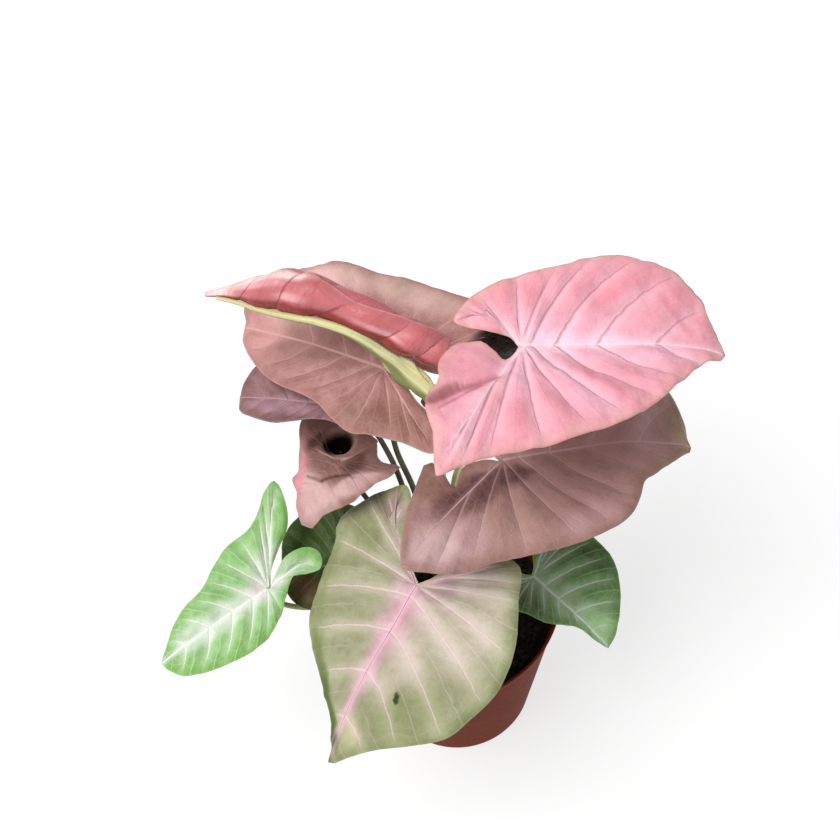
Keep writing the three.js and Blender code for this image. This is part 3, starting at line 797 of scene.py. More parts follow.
@dataclass(frozen=True)
class Half:
    """The outline of one half: round to the end of its lobe, and on inside it to the sinus.

    The lobe's own vein runs to a given place, or 0.7 of the way to the lobe's end.
    """

    outer: Points
    inner: Points
    vein: tuple[float, float] | None = None

    def own(self) -> Array:
        """Where the lobe's own vein ends."""
        return np.array(self.vein if self.vein else (0.7 * np.array(self.outer[-1])), dtype=float)


@dataclass(frozen=True)
class Stalk:
    """A petiole's foot in the soil, its way up, its radius at the foot and the top, and its finish."""

    foot: tuple[float, float]
    way: Sequence[tuple[float, ...]]
    radii: tuple[float, float]
    slot: Slot


@dataclass(frozen=True)
class Petiole:
    """The sizes that all petioles share, and the mesh of one."""

    sunk_to: float = 68.0
    straight_to: float = 81.0
    collar: float = 85.0
    seat: float = 0.7
    neck: float = 4.0
    around: int = 20
    step: float = 1.6
    groove: float = 0.1
    groove_turn: float = 0.5
    fluting: float = 0.015
    flutes: int = 6
    wrinkle: float = 0.2
    samples: int = 1500
    rounding: float = 0.8
    uv_girth: float = 0.13
    uv_length: float = 250.0

    def upright(self, stalk: Stalk) -> list[tuple[float, ...]]:
        """The rows of the part that stands in its hole."""
        (x, y), radius = stalk.foot, stalk.radii[0]
        return [(x, y, z, radius, radius) for z in (self.sunk_to, self.straight_to, self.collar)]

    def tube(
        self, rows: Sequence[tuple[float, ...]], name: str, slot: Slot, nodes: Sequence[str]
    ) -> bpy.types.Object:
        """Carry a grooved oval along a smooth way.

        The way is a centripetal curve through the rows, taken at even lengths, and the two half
        widths follow a chordal one. A ring's point is the centre + side * across * cos(turn) + face
        * deep * sin(turn), with side square to the course and to the back direction. A groove runs
        up the upper side, two slanting waves wrinkle a broad sheath, and the tube closes at both
        ends by rings that shrink to a point.

        Args:
            rows: x, y, z, half width across and half depth.
            name: the piece's name.
            slot: its finish.
            nodes: the CAD nodes that it stands for.

        Returns:
            The piece.
        """
        table = np.array(rows, dtype=float)
        way = table[:, :3]
        dense = np.linspace(0, 1, self.samples)
        run = run_lengths(spline(way, dense))
        body = np.linspace(0, run[-1], max(12, round(run[-1] / (self.step * coarser()))))
        rounding = np.array([0.0, 0.12, 0.4]) * self.rounding
        length = np.concatenate([rounding, body[1:-1], run[-1] - rounding[::-1]])
        place = np.interp(length, run, dense)
        centre, girth = spline(way, place), spline(table[:, 3:], place, 0.5)
        ahead = curve_course(way, place)
        side = unit(np.cross([0.0, 1.0, 0.0], ahead))
        face = np.cross(ahead, side)
        cap = np.ones(len(length))
        cap[:3], cap[-3:] = (0.0, 0.6, 0.92), (0.92, 0.6, 0.0)
        swell = 1 + 0.1 * np.exp(-(((run[-1] - length) / 6) ** 2))
        turn = 2 * np.pi * np.arange(self.around) / self.around
        groove = self.groove * np.exp(-(((turn - 1.5 * np.pi) / self.groove_turn) ** 2))
        ribs = 1 - self.fluting * np.cos(self.flutes * turn) - groove
        broad = self.wrinkle * np.clip(girth[:, 0] / girth[:, 1] - 1, 0, 2)[:, None]
        run_on = length[:, None]
        waves = np.sin(2 * turn + 0.24 * run_on) + 0.6 * np.sin(5 * turn - 0.37 * run_on)
        ribs = ribs + broad * waves / 2
        reach = (cap * swell)[:, None, None] * ribs[:, :, None]
        points = centre[:, None] + reach * (
            side[:, None] * (girth[:, :1] * np.cos(turn))[:, :, None]
            + face[:, None] * (girth[:, 1:] * np.sin(turn))[:, :, None]
        )
        faces = grid_faces(len(length), self.around, wraps=True)
        flat = points.reshape(-1, 3)
        merged = np.arange(len(flat))
        merged[: self.around] = 0
        merged[-self.around :] = len(flat) - self.around
        thin = merged[faces]
        keep = whole(thin)
        used, small = np.unique(thin[keep], return_inverse=True)
        surface = Surface(flat[used], small.reshape(-1, 3))
        ring, spoke = np.divmod(faces[keep].ravel(), self.around)
        # The faces that join the last spoke to the first carry on round the surface's own map
        joins = np.repeat(faces[keep].max(axis=1) % self.around, 3) == self.around - 1
        wrapped = np.where((spoke == 0) & joins, 1.0, 0.0)
        surface.corners = {"run": length[ring] / run[-1]}
        surface.uv = np.stack([
            spoke / self.around * self.uv_girth + wrapped * self.uv_girth,
            length[ring] / self.uv_length,
        ], axis=1)
        return surface.piece(name, STALK_MATERIALS[slot], slot.value, nodes)


STALK_FINISHES = {
    Slot.STALK_GREEN: StalkFinish("petiole_skin_green", "#6f7a44", "#a9ad78", "#8f9a5c", "#5c6836"),
    Slot.STALK_PALE: StalkFinish("petiole_skin_pale", "#e3e3a6", "#c0ba82", "#f5f2c4", "#65702f", "#8a9248"),
    Slot.STALK_DARK: StalkFinish("petiole_skin_dark", "#43442e", "#4c4733", "#5a6438", "#2c2c1c", "#201d14"),
}
STALK_MATERIALS: dict[Slot, bpy.types.Material] = {}


@dataclass(frozen=True)
class Relief:
    """Low relief of every open blade: for each kind a width or wavelength, and its height, in mm."""

    quilt_span: float = 14.0
    quilt_uneven: tuple[float, float] = (30.0, 0.35)
    broad: tuple[float, float] = (24.0, 0.7)
    small: tuple[float, float] = (7.0, 0.22)
    ripple: tuple[float, float] = (9.0, 1.0)
    fine_ripple: tuple[float, float] = (4.5, 0.4)
    furrow: tuple[float, float] = (2.8, 0.6)
    margin: tuple[float, float] = (2.2, 1.1)
    stiff: float = 5.0


@dataclass(frozen=True)
class OpenLeaf:
    """One open leaf: its blade and the petiole under it."""

    name: str
    slot: Slot
    finish: LeafFinish
    junction: tuple[float, float, float]
    heading: float
    pitch: float
    roll: float
    length: float
    left: Half
    right: Half
    bends: tuple[Bend, ...]
    ruffle: float
    waves: int
    stalk: Stalk
    hollow: tuple[float, float, float, float] | None = None
    creases: tuple[Crease, ...] = ()
    quilt: float = 1.9
    crowding: float = 1.7
    laterals: tuple[float, float, float, float] = (5.1, 2.0, 1.9, 1.3)
    columns: tuple[int, int, int] = (72, 24, 36)
    rows: int = 26
    thickness: float = 0.5
    keel: float = 0.5
    crimp: float = 0.35
    outline_steps: int = 14
    sweep: float = 0.2
    back: float = -0.04
    bow: float = 0.3
    inner_crowding: float = 2.2
    lobe_rib: tuple[float, float] = (0.5, 0.3)
    mid_rib: tuple[float, float] = (0.75, 0.55)
    order_marks: tuple[int, ...] = (0, 6, 8, 11, 14)
    low: Relief = Relief()

    def frame(self) -> Array:
        """The turn from the leaf's own axes to the plant's: roll, then pitch, then heading."""
        h, p, r = np.radians([self.heading, self.pitch, self.roll])
        about_z = np.array([[np.cos(h), -np.sin(h), 0], [np.sin(h), np.cos(h), 0], [0, 0, 1]])
        about_y = np.array([[np.cos(p), 0, -np.sin(p)], [0, 1, 0], [np.sin(p), 0, np.cos(p)]])
        about_x = np.array([[1, 0, 0], [0, np.cos(r), -np.sin(r)], [0, np.sin(r), np.cos(r)]])
        return about_z @ about_y @ about_x

    def veins(self, half: Half) -> tuple[Array, Array, Array, Array, Array]:
        """Vein paths of one half, from the tip round to the sinus.

        The margin is a centripetal curve through the outline. Roots run down the midrib, closer and
        closer, wait at the junction, and run out along the lobe's own vein and back. Ends run round
        the margin: the foremost path of the junction ends where the margin comes down to a share of
        the length, and the lobe's own paths start beyond where it passes behind the junction.

        Args:
            half: the outline.

        Returns:
            Each path's root, end, order from 0 to 14 and vein number, and the margin's points.
        """
        down, fan, lobe = (n // coarser() for n in self.columns)
        knots = np.array([(self.length, 0), *half.outer, *half.inner, (-1.5, 0)], dtype=float)
        steps = self.outline_steps
        margin = spline(knots, np.linspace(0, 1, (len(knots) - 1) * steps + 1))
        outer, inner = margin[: len(half.outer) * steps + 1], margin[len(half.outer) * steps :]
        shares = np.arange(0, 1.0001, 1 / 400)
        xs = along_way(outer, shares)[:, 0]
        ahead, beside = xs <= self.sweep * self.length, xs <= self.back * self.length
        sweep = min(shares[ahead.argmax()] if ahead.any() else 0.8, 0.8)
        back = min(shares[beside.argmax()] if beside.any() else 0.8, 0.9)
        fan_end = (max(back, sweep + 0.03) + 1) / 2
        own = half.own()
        m = np.linspace(0, 1, down + 1)
        f, s = (np.arange(1, n + 1) / n for n in (fan, lobe))
        roots = np.vstack([
            np.stack([self.length * (1 - m) ** self.crowding, 0 * m], axis=1),
            np.zeros((fan, 2)),
            s[:, None] * own,
            (1 - s)[:, None] * own,
        ])
        rounds = np.concatenate([m * sweep, sweep + (fan_end - sweep) * f, fan_end + (1 - fan_end) * s])
        ends = np.vstack([along_way(outer, rounds), along_way(inner, 1 - (1 - s) ** self.inner_crowding)])
        order = np.concatenate([6 * m, 6 + 2 * f, 8 + 3 * s, 11 + 3 * s])
        numbers = np.interp(order, self.order_marks, np.cumsum((0, *self.laterals)))
        return roots, ends, order, numbers, margin

    def sheet(self, half: Half, sign: int) -> dict[str, Array]:
        """The flat grid of one half, and all numbers that its relief and finish need.

        A path's point is root + (end - root) r + square * bow * r (1 - r). The spacing is the length
        between two whole vein numbers, measured square to the vein. The rib number is the distance
        to the midrib or the lobe's vein over its half width there.

        Args:
            half: the outline.
            sign: 1 on the left, -1 on the right.

        Returns:
            Arrays by name, each with a row for each path and a column for each step out.
        """
        roots, ends, order, numbers, margin = self.veins(half)
        out = np.linspace(0, 1, self.rows // coarser() + 1)
        line = ends - roots
        square = np.stack([-line[:, 1], line[:, 0]], axis=1)
        bow = sign * self.bow * np.clip((9 - order) / 6, 0, 1)
        flat = (
            roots[:, None]
            + line[:, None] * out[None, :, None]
            + square[:, None] * (bow[:, None] * out * (1 - out))[:, :, None]
        )
        shape = flat.shape[:2]
        step = np.gradient(flat, numbers, axis=0)
        along = unit(np.gradient(flat, axis=1))
        spacing = np.abs(step[..., 0] * along[..., 1] - step[..., 1] * along[..., 0])
        dots = flat.reshape(-1, 2)
        own = half.own()
        share = np.clip(dots @ own / (own @ own), 0, 1)
        lobe_wide = self.lobe_rib[0] - self.lobe_rib[1] * share
        lobe = np.linalg.norm(dots - share[:, None] * own, axis=1) / lobe_wide
        on = np.clip(dots[:, 0], 0, self.length)
        mid_wide = self.mid_rib[0] - self.mid_rib[1] * on / self.length
        mid = np.hypot(dots[:, 0] - on, dots[:, 1]) / mid_wide
        return {
            "flat": flat,
            "order": np.broadcast_to(order[:, None], shape),
            "vein": np.broadcast_to(numbers[:, None], shape),
            "across": np.broadcast_to(out, shape),
            "spacing": spacing,
            "edge": distance_to(dots, margin).reshape(shape),
            "rib": np.minimum(mid, lobe).reshape(shape),
            "wide": np.where(mid < lobe, mid_wide, lobe_wide).reshape(shape),
            "half": np.full(shape, float(sign)),
        }

    def relief(self, parts: dict[str, Array], flat: Array) -> Array:
        """How far the sheet stands off its plane before it is bent.

        The margin's waves are ruffle t^2 sin(pi phase) sin(2 pi waves phase), and the hollow is a
        steep bell. Between two laterals the blade swells by quilt |sin(pi number)|, as long as they
        stand apart. Broad unevenness, creases and small ripples near the margin come on top, and the
        margin itself turns down.

        Args:
            parts: the numbers at the flat points.
            flat: the flat points.

        Returns:
            A height for each point.
        """
        phase, out, vein = parts["order"] / self.order_marks[-1], parts["across"], parts["vein"]
        rise = self.ruffle * out**2 * np.sin(np.pi * phase) * np.sin(2 * np.pi * self.waves * phase)
        if self.hollow:
            x, y, radius, depth = self.hollow
            away = np.hypot(flat[:, 0] - x, flat[:, 1] - y) / radius
            rise -= np.where(parts["half"] < 0, depth * np.exp(-(away**3)), 0)
        seed = sum(ord(letter) for letter in self.name)
        # The quilting between the laterals, none where they crowd together
        low = self.low
        size, uneven = low.quilt_uneven
        apart = np.clip(parts["spacing"] / low.quilt_span, 0, 1)
        apart = apart * (1 + uneven * rough(flat, size, seed + 3))
        apart *= ease(parts["spacing"], 1, 5)
        shape = ease(out, 0, 0.3) * (1 - 0.75 * ease(out, 0.7, 1))
        swell = np.sqrt(np.sin(np.pi * vein) ** 2 + 0.015) - 0.55 + 0.15 * np.sin(2 * np.pi * vein)
        rise += self.quilt * apart * shape * swell
        # Unevenness, less of it on the stiff ribs, and ripples at the margin
        inward = 0.4 + 0.6 * ease(parts["rib"] * parts["wide"], 0, low.stiff)
        waves = [
            high * rough(flat, size, seed + number)
            for number, (size, high) in enumerate((low.broad, low.small, low.ripple))
        ]
        size, high = low.fine_ripple
        ripples = waves[2] + high * rough(flat, size, seed + 4)
        rise += inward * waves[0] + inward * waves[1]
        rise += self.crimp * out**4 * ripples
        # The ribs lie in furrows, and the margin turns down over its last millimetres
        size, high = low.furrow
        rise -= high * np.maximum(parts["wide"] - 0.2, 0) * np.exp(-((parts["rib"] / size) ** 2))
        size, high = low.margin
        rise -= high * np.exp(-parts["edge"] / size)
        for crease in self.creases:
            rise += crease.rise(flat)
        return rise

    def bent(self, flat: Array, rise: Array) -> Array:
        """Roll what lies beyond each bend's line round a cylinder of its radius, and no further than
        its angle, then turn the sheet to its heading, pitch and roll and carry it to its junction."""
        xy, z = flat.copy(), rise.copy()
        for x, y, toward, radius, angle in self.bends:
            facing = np.array([np.cos(np.radians(toward)), np.sin(np.radians(toward))])
            beyond = (xy - [x, y]) @ facing
            turn = np.clip(beyond / radius, 0, np.radians(abs(angle)))
            sign = np.sign(angle)
            rest, height = np.maximum(beyond, 0) - radius * turn, z * sign
            reach = (radius - height) * np.sin(turn) + rest * np.cos(turn)
            over = beyond > 0
            xy += np.where(over, reach - beyond, 0)[:, None] * facing
            lifted = sign * (radius - (radius - height) * np.cos(turn) + rest * np.sin(turn))
            z = np.where(over, lifted, z)
        return np.column_stack([xy, z]) @ self.frame().T + self.junction

    def blade(self) -> bpy.types.Object:
        """Build and dress the blade.

        Both halves' grids are merged where they meet, then given two skins a leaf's thickness
        apart, thinner at the margin, with a keel under the midrib.

        Returns:
            The piece.
        """
        halves = [self.sheet(self.left, 1), self.sheet(self.right, -1)]
        rows, columns = halves[0]["flat"].shape[:2]
        faces = grid_faces(rows, columns)
        faces = np.vstack([faces[:, ::-1], faces + rows * columns])
        parts = {
            name: np.concatenate([half[name].ravel() for half in halves])
            for name in halves[0] if name != "flat"
        }
        flat = np.vstack([half["flat"].reshape(-1, 2) for half in halves])
        _, first, merged = np.unique(np.round(flat, 5), axis=0, return_index=True, return_inverse=True)
        merged = merged.ravel()
        rise = self.relief(parts, flat)
        points = self.bent(flat[first], rise[first])
        if normals(points, merged[faces[:50]])[merged[faces[0, 0]]] @ self.frame()[:, 2] < 0:
            faces = faces[:, ::-1]
        slim = 0.5 * self.thickness * (1 - 0.55 * ease(-parts["edge"][first], -1.6, 0))
        keel = self.keel * np.exp(-((parts["rib"][first] / 2) ** 2)) * ease(parts["edge"][first], 1, 8)
        plain = self.bent(flat[first], np.zeros(len(first)))
        skins = shell(points, faces, merged, slim, slim + keel, plain)
        return self.finish.dress(skins, parts, flat, flat, self.name, self.slot)

    def petiole(self) -> bpy.types.Object:
        """Build the petiole, which tapers up to the junction and comes to it square to the blade."""
        shared = Petiole()
        normal = self.frame() @ [0, 0, 1]
        foot, top = self.stalk.radii
        seats = (shared.seat + shared.neck, shared.seat)
        free = [np.array(point) for point in self.stalk.way]
        free += [self.junction - normal * seat for seat in seats]
        height = self.junction[2] - shared.collar
        rows = shared.upright(self.stalk)
        for point in free:
            radius = foot + (top - foot) * min((point[2] - shared.collar) / height, 1)
            rows.append((*point, radius, radius))
        return shared.tube(rows, f"stalk_{self.name}", self.stalk.slot, [f"petiole_{self.name}"])


@dataclass(frozen=True)
class RolledLeaf:
    """The newest leaf: a sheet wound round a bowed axis, on its petiole, which is also its midrib."""

    finish: LeafFinish
    stalk: Stalk
    stations: Points = (
        (-80.5, 74.5, 250, 0.9, -60), (-71, 70, 252.6, 2.4, -55), (-62, 65.8, 254, 4.9, -50),
        (-53, 61.8, 255.3, 7.5, -46), (-43.8, 57.6, 256.8, 9.5, -42), (-35, 53.4, 257.2, 10, -36),
        (-28, 50.1, 256.4, 9.6, 2), (-15, 43.9, 251.5, 8.4, 16), (-3, 38.3, 245.2, 8.4, 10),
        (7, 33.4, 239.7, 8.5, -12), (13.3, 30.2, 236, 8.1, -20), (19.5, 27.3, 232.5, 6.8, -25),
    )
    tip_end: float = 250.0
    inner_end: float = 405.0
    closed_at: float = 0.3
    layer_step: float = 1.6
    slim_step: float = 0.3
    thickness: float = 0.6
    along: int = 180
    around: int = 150
    midrib_angle: float = 120.0
    midrib_ends: tuple[float, float] = (0.65, 0.05)
    midrib_radii: tuple[float, float] = (2.1, 0.8)
    midrib_clear: float = -0.4
    midrib_points: int = 7
    flat_length: float = 150.0
    vein_spacing: float = 18.0
    vein_start: float = 0.6
    veins_along: float = 5.6
    veins_around: float = 1.5
    swell: float = 1.3
    uneven: tuple[float, float] = (16.0, 0.35)
    uneven_seed: int = 5
    edge_wave: float = 2.2
    edge_waves: float = 31.0

    def section(self, along: Array) -> tuple[Array, Array, Array, Array]:
        """The roll at some shares of its length.

        Args:
            along: shares from the tip (0) to the back end (1).

        Returns:
            Points of the axis, the upward direction square to it, the direction towards the front,
            and the radius and free edge there.
        """
        table = np.array(self.stations, dtype=float)
        centres = table[:, :3]
        axis, shape = spline(centres, along), spline(np.pad(table[:, 3:], ((0, 0), (0, 1))), along)
        front = unit(np.cross(centres[-1] - centres[0], [0.0, 0.0, 1.0]))
        up = unit(np.cross(front, curve_course(centres, along)))
        return axis, up, front, shape

    def at(self, along: Array, degrees: Array, distance: Array) -> Array:
        """Points beside the axis: axis + up * distance * cos(angle) + front * distance * sin(angle)."""
        axis, up, front, _ = self.section(along)
        turn = np.radians(degrees)
        return axis + up * (distance * np.cos(turn))[:, None] + front * (distance * np.sin(turn))[:, None]

    def blade(self) -> bpy.types.Object:
        """Build and dress the rolled blade.

        Its section is a spiral that winds inwards from the free edge. It swells between the lateral
        veins, which run round it on a slant, and its free edge waves a little.

        Returns:
            The piece.
        """
        rows, columns = self.along // coarser() + 1, self.around // coarser() + 1
        grid = np.meshgrid(np.linspace(0, 1, rows), np.linspace(0, 1, columns), indexing="ij")
        a, t = (values.ravel() for values in grid)
        shape = self.section(a)[3]
        radius, free = shape[:, 0], shape[:, 1]
        wrap = self.tip_end + (self.inner_end - self.tip_end) * np.minimum(a / self.closed_at, 1) - free
        step = np.minimum(self.layer_step, self.slim_step * radius)
        turned = wrap * t
        slant = self.veins_around * (turned / 360) * ease(a, 0, 0.2)
        vein = self.vein_start + self.veins_along * a**1.1 + slant
        swell = np.sqrt(np.sin(np.pi * vein) ** 2 + 0.01) - 0.6
        length = self.flat_length * a
        laid = np.column_stack([length, turned / 360 * 2 * np.pi * radius])
        size, high = self.uneven
        lift = self.swell * swell + high * rough(laid, size, self.uneven_seed)
        lift = lift * ease(radius, 1.5, 6)
        wave = self.edge_wave * np.sin(a * self.edge_waves) * (1 - t) ** 6 * ease(a, 0.05, 0.2)
        points = self.at(a, free + turned + wave, radius - step * turned / 360 + lift)
        slim = np.full(len(points), self.thickness / 2)
        skins = shell(points, grid_faces(rows, columns), np.arange(len(points)), slim, slim)
        arc = np.radians(turned) * radius
        numbers = {
            "vein": vein,
            "across": 0.45 + 0 * a,
            "spacing": np.full(len(points), self.vein_spacing),
            "edge": np.minimum(arc, self.flat_length * np.minimum(a, 1 - a) + 0.6),
            "rib": 20 + 0 * a,
        }
        # The tints are laid out by hundredths of the length and degrees round the roll
        spots = np.column_stack([100 * a, free + turned])
        flat = np.column_stack([length, arc])
        return self.finish.dress(skins, numbers, flat, spots, "rolled", Slot.CORAL)

    def petiole(self) -> bpy.types.Object:
        """Build the petiole, with its broad sheath, and the midrib that runs on under the roll."""
        shared = Petiole(groove=0.05)
        rows = [*shared.upright(self.stalk), *self.stalk.way]
        along = np.linspace(*self.midrib_ends, self.midrib_points)
        radius = np.linspace(*self.midrib_radii, self.midrib_points)
        away = self.section(along)[3][:, 0] + self.midrib_clear + radius
        points = self.at(along, np.full(self.midrib_points, self.midrib_angle), away)
        rows += [(*point, r, r) for point, r in zip(points, radius)]
        return shared.tube(rows, "stalk_rolled", self.stalk.slot, ["petiole_rolled"])


@dataclass(frozen=True)
class Pot:
    """Thin moulded nursery pot: tapered wall, upright lip, ring of drain holes in the floor."""

    height: float = 92.0
    rim_radius: float = 60.0
    base_radius: float = 40.0
    wall: float = 1.4
    floor: float = 1.8
    lip_height: float = 6.0
    lip_step: float = 0.8
    heel: float = 2.5
    drain_radius: float = 3.5
    drain_circle: float = 28.0
    drains: int = 6
    drain_reach: float = 0.45
    hub_radius: float = 0.8
    floor_rings: int = 46
    around: int = 168

    def wall_radius(self, height: float) -> float:
        """The outer radius of the tapered wall at a height: a straight line from base to rim."""
        top = self.rim_radius - self.lip_step
        return self.base_radius + (top - self.base_radius) * height / self.height

    def profile(self) -> Array:
        """The section from the floor's outside round the lip to the floor's inside, corners eased.

        Returns:
            Radius and height, a row each, from the drain floor's edge outside to its edge inside.
        """
        lip = self.height - self.lip_height
        inside = self.base_radius - self.heel - 2
        outer = [
            (inside, 0), (self.base_radius - self.heel, 0), (self.base_radius - 1.1, 0.35),
            (self.wall_radius(1.4) - 0.25, 1.3), (self.wall_radius(self.heel), self.heel),
            *((self.wall_radius(h), h) for h in np.linspace(8, lip - 0.6, 14)),
            (self.wall_radius(lip), lip), (self.wall_radius(lip) + 0.5, lip + 0.25),
            (self.wall_radius(lip) + self.lip_step, lip + self.lip_step),
            (self.rim_radius - 0.05, self.height - 0.9), (self.rim_radius - 0.15, self.height - 0.35),
            (self.rim_radius - 0.45, self.height), (self.rim_radius - self.wall + 0.4, self.height),
            (self.rim_radius - self.wall + 0.1, self.height - 0.3),
            (self.rim_radius - self.wall, self.height - 0.8),
            (self.wall_radius(lip) - self.wall + 0.1, lip),
            (self.wall_radius(lip) - self.wall, lip - self.lip_step),
            *((self.wall_radius(h) - self.wall, h) for h in np.linspace(lip - 8, 6, 12)),
            (self.wall_radius(self.floor) - self.wall - 0.2, self.floor + 0.4),
            (self.wall_radius(self.floor) - self.wall - 0.8, self.floor), (inside, self.floor),
        ]
        return np.array(outer, dtype=float)

    def surface(self) -> Surface:
        """Turn the profile round the axis and add the pierced floor.

        A point is (radius cos turn, radius sin turn, height). The floor inside the wall's foot is
        laid in rings. Its points near a drain hole are drawn on to the hole's circle, and the faces
        inside are left out.

        Returns:
            The closed surface.
        """
        rows = self.profile()
        ring = circle(self.around)
        heights = np.broadcast_to(rows[:, None, 1:], (len(rows), self.around, 1))
        wall = np.concatenate([rows[:, None, :1] * ring, heights], axis=2)
        faces = grid_faces(len(rows), self.around, wraps=True)[:, ::-1]
        radii = np.linspace(rows[0, 0], self.hub_radius, self.floor_rings)
        disc = (radii[:, None, None] * ring).reshape(-1, 2)
        centres = self.drain_circle * circle(self.drains)
        offset = disc[:, None] - centres
        away = np.linalg.norm(offset, axis=2)
        nearest = away.argmin(axis=1)
        distance = away[np.arange(len(disc)), nearest]
        outward = unit(offset[np.arange(len(disc)), nearest])
        floor_faces = grid_faces(len(radii), self.around, wraps=True)
        open_face = distance[floor_faces].max(axis=1) > self.drain_radius + self.drain_reach
        floor_faces = floor_faces[open_face]
        near = np.abs(distance - self.drain_radius) < 0.8
        touched = np.zeros(len(disc), dtype=bool)
        touched[floor_faces.ravel()] = True
        snap = near & touched & (distance < self.drain_radius + self.drain_reach)
        disc[snap] = centres[nearest[snap]] + self.drain_radius * outward[snap]
        centre_ring = (len(radii) - 1) * self.around + np.arange(self.around)
        flat = np.vstack([disc, np.zeros((1, 2))])
        hub = np.stack([np.full(self.around, len(disc)), centre_ring, np.roll(centre_ring, -1)], axis=1)
        plan = np.vstack([floor_faces, hub])
        count, base = len(flat), len(wall) * self.around
        low = np.column_stack([flat, np.zeros(count)])
        high = np.column_stack([flat, np.full(count, self.floor)])
        start, end = edges(plan)
        free = open_edges(start, end, count) & (np.maximum(start, end) >= self.around)
        a, b = start[free], end[free]
        between = np.vstack([
            np.stack([a, a + count, b + count], axis=1),
            np.stack([a, b + count, b], axis=1),
        ])
        points = np.vstack([wall.reshape(-1, 3), low, high])
        solid = np.vstack([faces, plan + base, plan[:, ::-1] + base + count, between + base])
        _, first, merged = np.unique(np.round(points, 4), axis=0, return_index=True, return_inverse=True)
        solid = merged.ravel()[solid]
        return Surface(points[first], solid[whole(solid)][:, ::-1])

    def material(self) -> bpy.types.Material:
        """Injection-moulded polypropylene: a satin skin with faint flow marks and a few scuffs.

        The moulding leaves a fine even grain, the colour is through and through, and handling
        leaves pale scuffs and a little soil dust on the lip.

        Returns:
            The material.
        """
        made, tree = start_material("polypropylene_moulded_terracotta")
        mm = place_in_mm(tree)
        height = add(tree, "ShaderNodeSeparateXYZ", {0: mm}, out=2)
        cloud = add(tree, NOISE, {"Vector": mm, "Scale": 1 / 26, "Detail": 4.0})
        dust = add(tree, NOISE, {"Vector": mm, "Scale": 1 / 3.2, "Detail": 5.0, "Roughness": 0.7})
        grain = add(tree, NOISE, {"Vector": mm, "Scale": 1 / 0.5, "Detail": 2.0})
        drawn = add(tree, "ShaderNodeMapping", {"Vector": mm, "Scale": (0.12, 0.12, 2.4)})
        scuff = add(tree, NOISE, {"Vector": drawn, "Scale": 1.0, "Detail": 3.0})
        colour = add(tree, MIX, {0: cloud, 6: linear("#632410"), 7: linear("#753016")}, **COLOURS)
        colour = wash(tree, colour, "#b3795f", scuff, (0.6, 0.75), (0.0, 0.16))
        top = add(tree, RANGE, {0: height, 1: self.height - 14, 2: self.height})
        share = add(tree, RANGE, {0: dust, 1: 0.55, 2: 0.72, 4: 0.5}, **SOFT)
        share = add(tree, MATH, {0: share, 1: top}, operation="MULTIPLY")
        colour = add(tree, MIX, {0: share, 6: colour, 7: linear("#3c2a20")}, **COLOURS)
        relief = add(tree, MATH, {0: cloud, 1: 4.0, 2: grain}, operation="MULTIPLY_ADD")
        bump = add(tree, BUMP, {"Height": relief, "Strength": 0.35, "Distance": 0.12 * MM})
        gloss = add(tree, RANGE, {0: dust, 3: 0.45, 4: 0.62})
        skin = add(tree, SKIN, {
            "Base Color": colour, "Roughness": gloss, "Normal": bump, "IOR": 1.49,
            "Specular IOR Level": 0.03,
        })
        add(tree, OUTPUT, {"Surface": skin})
        return made

    def build(self) -> bpy.types.Object:
        """Make the pot."""
        made = self.surface().piece("nursery_pot", self.material(), Slot.POT.value, ["pot"])
        hard = made.modifiers.new("edges", "WEIGHTED_NORMAL")
        hard.keep_sharp = True
        return made


